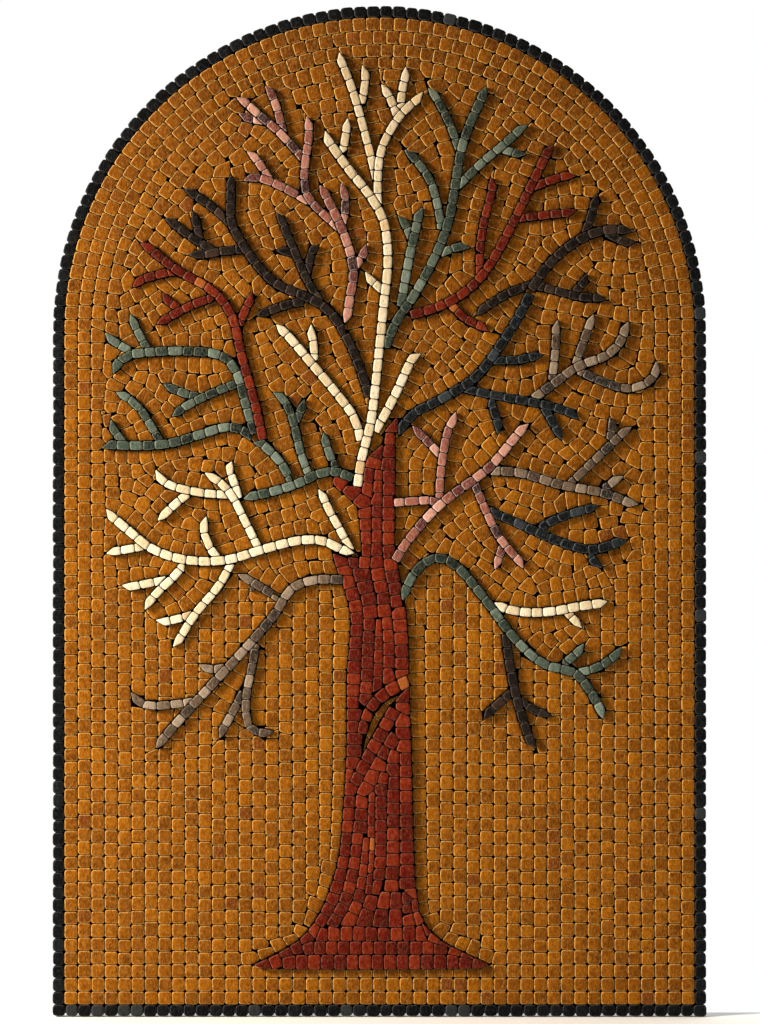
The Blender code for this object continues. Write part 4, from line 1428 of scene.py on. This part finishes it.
def marble(name, dark, middle, light, odd_one, bruise_and_highlight, odd_share=0.02, rim_highlight_share=0.6, front=TREE_FRONT,
           grain=0.5, tone_share=0.6, roughness=0.5):
    """Honed marble whose stones run from dark to light, with a few odd ones, a painted highlight with bruises
    on the rims, painted shade on the sides and painted shade towards the top of the panel.
    """
    material, tree, shader = new_material(name, roughness, STONE_SHINE)
    place = add_node(tree, "TexCoord", {}, "Object")
    tone, seed, odd, rim_highlight, painted_top_shade = (add_node(tree, "Attribute", {}, "Fac", attribute_name=label)
                                  for label in ("tone", "seed", "odd", "rim_highlight", "painted_top_shade"))
    shift = add_node(tree, "CombineXYZ", {"X": seed, "Y": tone, "Z": odd})
    shift = add_node(tree, "VectorMath", {0: shift, "Scale": STONE_SHIFT}, operation="SCALE")
    own_place = add_node(tree, "VectorMath", {0: place, 1: shift}, operation="ADD")
    cloud = add_node(tree, "TexNoise",
                     {"Vector": own_place, "Scale": 1000 / CLOUD_MM, "Detail": 3.0, "Roughness": 0.6})
    slant = add_node(tree, "Mapping", {"Vector": own_place, "Rotation": (0.0, GRAIN_SLANT, 0.0),
                                       "Scale": (1.0, 1.0, GRAIN_STRETCH)})
    fine = add_node(tree, "TexNoise", {"Vector": slant, "Scale": 1000 / GRAIN_MM, "Detail": 4.0,
                                       "Roughness": 0.65, "Distortion": 0.6})
    own = add_node(tree, "UVMap", {}, uv_map="own")
    stir = add_node(tree, "TexNoise", {"Vector": own_place, "Scale": STIR_SCALE}, "Color")
    stir = add_node(tree, "VectorMath", {0: stir, "Scale": STIR_SHARE}, operation="SCALE")
    stirred = add_node(tree, "VectorMath", {0: own, 1: stir}, operation="ADD")
    span = add_node(tree, "VectorMath", {0: stirred, 1: EYE_PLACE}, "Value", operation="DISTANCE")
    depth = add_node(tree, "SeparateXYZ", {0: place}, "Y")
    ranges = {
        "clouds": (cloud, 0.24, 0.76, 1 - tone_share),
        "speck": (fine, 0.50, 0.72, grain * 0.55),
        "pits": (fine, 0.46, 0.26, 1.0),
        "eye": (span, 0.11, 0.03, grain),
        "has_eye": (seed, 0.55, 0.95, 1.0),
        # painted highlight on the worn rim, with the tumbler's bruises
        "rim": (rim_highlight, 0.05, 0.60, 1.0),
        "broken": (fine, *RIM_HIGHLIGHT_BREAKUP, rim_highlight_share),
        # painted shade on the sides below the face, with adhesive stain in the joints
        "shade_and_stain_below_face": (depth, front + 0.0010, front + 0.0020, 1.0),
    }
    level = {}
    for label, (value, low, high, top) in ranges.items():
        inputs = {"Value": value, "From Min": low, "From Max": high, "To Max": top}
        level[label] = add_node(tree, "MapRange", inputs)
    own_tone = add_node(tree, "Math", {0: tone, 1: tone_share}, **TIMES)
    cast = add_node(tree, "Math", {0: own_tone, 1: level["clouds"]}, operation="ADD")
    colour = add_node(tree, "ValToRGB", {"Fac": cast})
    ramp = colour.node.color_ramp
    ramp.elements[0].color = linear(dark)
    ramp.elements[0].position = TONE_STOPS[0]
    ramp.elements[1].color = linear(light)
    ramp.elements[1].position = TONE_STOPS[2]
    ramp.elements.new(TONE_STOPS[1]).color = linear(middle)
    # painted shade: the higher the stone, the darker
    top_shade_amount = add_node(tree, "Math", {0: painted_top_shade, 1: TOP_SHADE_STRENGTH}, **TIMES)
    is_odd = add_node(tree, "Math", {0: odd, 1: 1 - odd_share}, operation="GREATER_THAN")
    eye = add_node(tree, "Math", {0: level["eye"], 1: level["has_eye"]}, **TIMES)
    rim = add_node(tree, "Math", {0: level["rim"], 1: level["broken"]}, **TIMES)
    layers = [
        # painted shade towards the top of the panel
        (top_shade_amount, "MULTIPLY", TOP_SHADE_COLOUR),
        (is_odd, "MIX", linear(odd_one)),
        (level["speck"], "MIX", linear(bruise_and_highlight)),
        (level["pits"], "MULTIPLY", PIT_STAIN),
        (eye, "MIX", linear(bruise_and_highlight)),
        # painted highlight on the worn rim, with the tumbler's bruises
        (rim, "MIX", linear(bruise_and_highlight)),
        # painted shade on the sides and in the joints, with adhesive stain
        (level["shade_and_stain_below_face"], "MIX", SIDE_SHADE_AND_STAIN),
    ]
    for share, blend, paint in layers:
        colour = add_node(tree, "Mix", {0: share, 6: colour, 7: paint}, 2, data_type="RGBA", blend_type=blend)
    tree.links.new(colour, shader.inputs["Base Color"])
    satin = add_node(tree, "MapRange", {"Value": fine, "From Min": 0.3, "From Max": 0.7,
                                        "To Min": roughness + 0.12, "To Max": roughness - 0.1})
    tree.links.new(satin, shader.inputs["Roughness"])
    relief = add_node(tree, "Math", {0: fine, 1: cloud}, operation="ADD")
    bump = add_node(tree, "Bump", {"Height": relief, "Strength": 0.7, "Distance": 0.0005})
    tree.links.new(bump, shader.inputs["Normal"])
    return material


print("grain and clouds in millimetres:", GRAIN_MM, CLOUD_MM)

# %% Mix the nine marbles
ochre = marble("honed_ochre_marble", "5A2E00", "7E4500", "9E5E00", "6A3408", "F2BC66", 0.012, 0.85,
               FIELD_FRONT, 0.42, 0.40)
black = marble("honed_black_marble", "040505", "07080A", "16181A", "2A2D2E", "606264", 0.04, 0.5, FIELD_FRONT,
               0.3)
TREE_STONES = {
    "red_marble": marble("honed_red_marble", "340500", "5E0E00", "822C0A", "94501E", "B4765C", 0.02, 0.4,
                         tone_share=0.5),
    "cream_marble": marble("honed_cream_marble", "CEB88E", "DECDAA", "ECE0C6", "C6A678", "F2EAD8", 0.06, 0.5,
                           grain=0.12),
    "pink_marble": marble("honed_pink_marble", "4A1C1A", "965846", "D2A08C", "2E1616", "E4C6BC", 0.08, 0.6,
                          tone_share=0.85),
    "green_marble": marble("honed_green_marble", "1A231F", "3F4B41", "7A887C", "181E1A", "A0A890", 0.08, 0.55,
                           tone_share=0.75),
    "taupe_marble": marble("honed_taupe_marble", "2C211A", "62503F", "9E8C78", "24201C", "C4B29E", 0.10, 0.55,
                           tone_share=0.8),
    "brown_marble": marble("honed_brown_marble", "090604", "140F0B", "292019", "32231A", "6E6056", 0.05, 0.7),
    "black_marble": marble("honed_blue_black_marble", "050606", "0D0F10", "1E2325", "2E3436", "6C7376", 0.06,
                           0.75),
}
print("marbles:", 2 + len(TREE_STONES))

# %% [markdown]
# ## Adhesive and glass fibre
# Cured tile adhesive is matt and lumpy, so hardly any of its face shines. The mesh is a bundle of glass
# threads soaked in the same adhesive, grey-white where it shows.

# %% Mix the bed's two finishes
adhesive, tree, shader = new_material("dark_tile_adhesive", 0.9, 0.05)
place = add_node(tree, "TexCoord", {}, "Object")
lumps = add_node(tree, "TexNoise", {"Vector": place, "Scale": 140.0, "Detail": 5.0})
colour = add_node(tree, "Mix", {0: lumps, 6: linear("0E0B08"), 7: linear("26201A")}, 2, data_type="RGBA")
tree.links.new(colour, shader.inputs["Base Color"])
bump = add_node(tree, "Bump", {"Height": lumps, "Strength": 0.7, "Distance": 0.0008})
tree.links.new(bump, shader.inputs["Normal"])
fibre, tree, shader = new_material("glass_fibre_mesh", 0.55, 0.4)
place = add_node(tree, "TexCoord", {}, "Object")
twist = add_node(tree, "TexNoise", {"Vector": place, "Scale": 420.0, "Detail": 3.0})
colour = add_node(tree, "Mix", {0: twist, 6: linear("8F8D84"), 7: linear("D8D5CA")}, 2, data_type="RGBA")
tree.links.new(colour, shader.inputs["Base Color"])
print("bed finishes: 2")

# %% Dress the pieces and let them ride
dress = {name: (stone, TREE_STONES[stone]) for name, (stone, routes) in LIMBS.items()}
dress["trunk"] = ("red_marble", TREE_STONES["red_marble"])
dress["border_row"] = ("black_marble", black)
dress["ochre_field"] = ("ochre_marble", ochre)
dress["backing_bed"] = ("mesh_bed", adhesive)
for name, group in pieces.items():
    slot, material = dress[name]
    for piece in group:
        piece.data.materials.append(fibre if piece == strands else material)
        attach(piece, "root")
        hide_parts(name)
print("dressed nodes:", len(pieces))

# %% [markdown]
# ## Camera, light and floor
# The camera looks square on through a long lens, so the panel shows no perspective. One soft lamp from the
# upper left throws the short shadows beside the limbs, and a pale floor and a white surround give the
# rest.

# %% Set the stage
PICTURE_SIZE = (760, 1024)
PANEL_BOX = (52.0, 707.0, 5.0, 1017.0)
FLOOR_SIDE = 3.0
FLOOR_END = 0.02
FLOOR_GAP = 0.0002
LENS_MM = 120.0
SENSOR_MM = 36.0
LAMP_SPOT = (-2.0, -1.0, 0.85)
LAMP_AIM = (0.0, 0.0, -0.1)
LAMP_SIZE = 0.5
LAMP_WATTS = 122.0


def put_in_scene(data, spot, turn):
    """Places a camera or a lamp."""
    placed = bpy.data.objects.new(data.name, data)
    placed.location = spot
    placed.rotation_euler = turn
    bpy.context.scene.collection.objects.link(placed)
    return placed


pixel = 2 * PANEL_HALF / (PANEL_BOX[1] - PANEL_BOX[0])
look_x = (PICTURE_SIZE[0] / 2 - (PANEL_BOX[0] + PANEL_BOX[1]) / 2) * pixel
look_z = ((PANEL_BOX[2] + PANEL_BOX[3]) / 2 - PICTURE_SIZE[1] / 2) * pixel
lens = bpy.data.cameras.new("camera")
lens.lens = LENS_MM
lens.sensor_width = SENSOR_MM
distance = pixel * PICTURE_SIZE[1] * LENS_MM / SENSOR_MM
camera = put_in_scene(lens, (look_x, FIELD_FRONT - distance, look_z), (math.pi / 2, 0.0, 0.0))
bpy.context.scene.camera = camera
lamp = bpy.data.lights.new("key", "AREA")
lamp.shape = "SQUARE"
lamp.size = LAMP_SIZE
lamp.energy = LAMP_WATTS
lamp.color = linear("FFF4E4")[:3]
facing = (Vector(LAMP_AIM) - Vector(LAMP_SPOT)).to_track_quat("-Z", "Y")
put_in_scene(lamp, LAMP_SPOT, facing.to_euler())
world = bpy.data.worlds.new("studio")
bpy.context.scene.world = world
world.use_nodes = True
tree = world.node_tree
tree.nodes.clear()
heading = add_node(tree, "TexCoord", {}, "Generated")
depth = add_node(tree, "SeparateXYZ", {0: heading}, "Y")
behind = add_node(tree, "MapRange", {"Value": depth, "From Min": -0.3, "From Max": 0.3})
glow = add_node(tree, "Mix", {0: behind, 6: linear("6E6F72"), 7: linear("FFFFFF")}, 2, data_type="RGBA")
seen = add_node(tree, "LightPath", {}, "Is Camera Ray")
shade = add_node(tree, "Mix", {0: seen, 6: glow, 7: linear("FFFFFF")}, 2, data_type="RGBA")
shade = add_node(tree, "Background", {"Color": shade})
add_node(tree, "OutputWorld", {"Surface": shade})
bpy.context.scene.view_settings.view_transform = "Standard"
bpy.context.scene.view_settings.look = "None"

shell = bmesh.new()
bmesh.ops.create_grid(shell, x_segments=1, y_segments=1, size=FLOOR_SIDE / 2)
bmesh.ops.translate(shell, vec=(0.0, FLOOR_END - FLOOR_SIDE / 2, PANEL_FOOT - FLOOR_GAP), verts=shell.verts)
bmesh.ops.recalc_face_normals(shell, faces=shell.faces)
floor = new_piece("floor", shell)
floor_material, tree, shader = new_material("matt_white_floor", 0.9, 0.1)
shader.inputs["Base Color"].default_value = linear("F4F4F2")
floor.data.materials.append(floor_material)
print("camera", [round(value, 3) for value in camera.location])
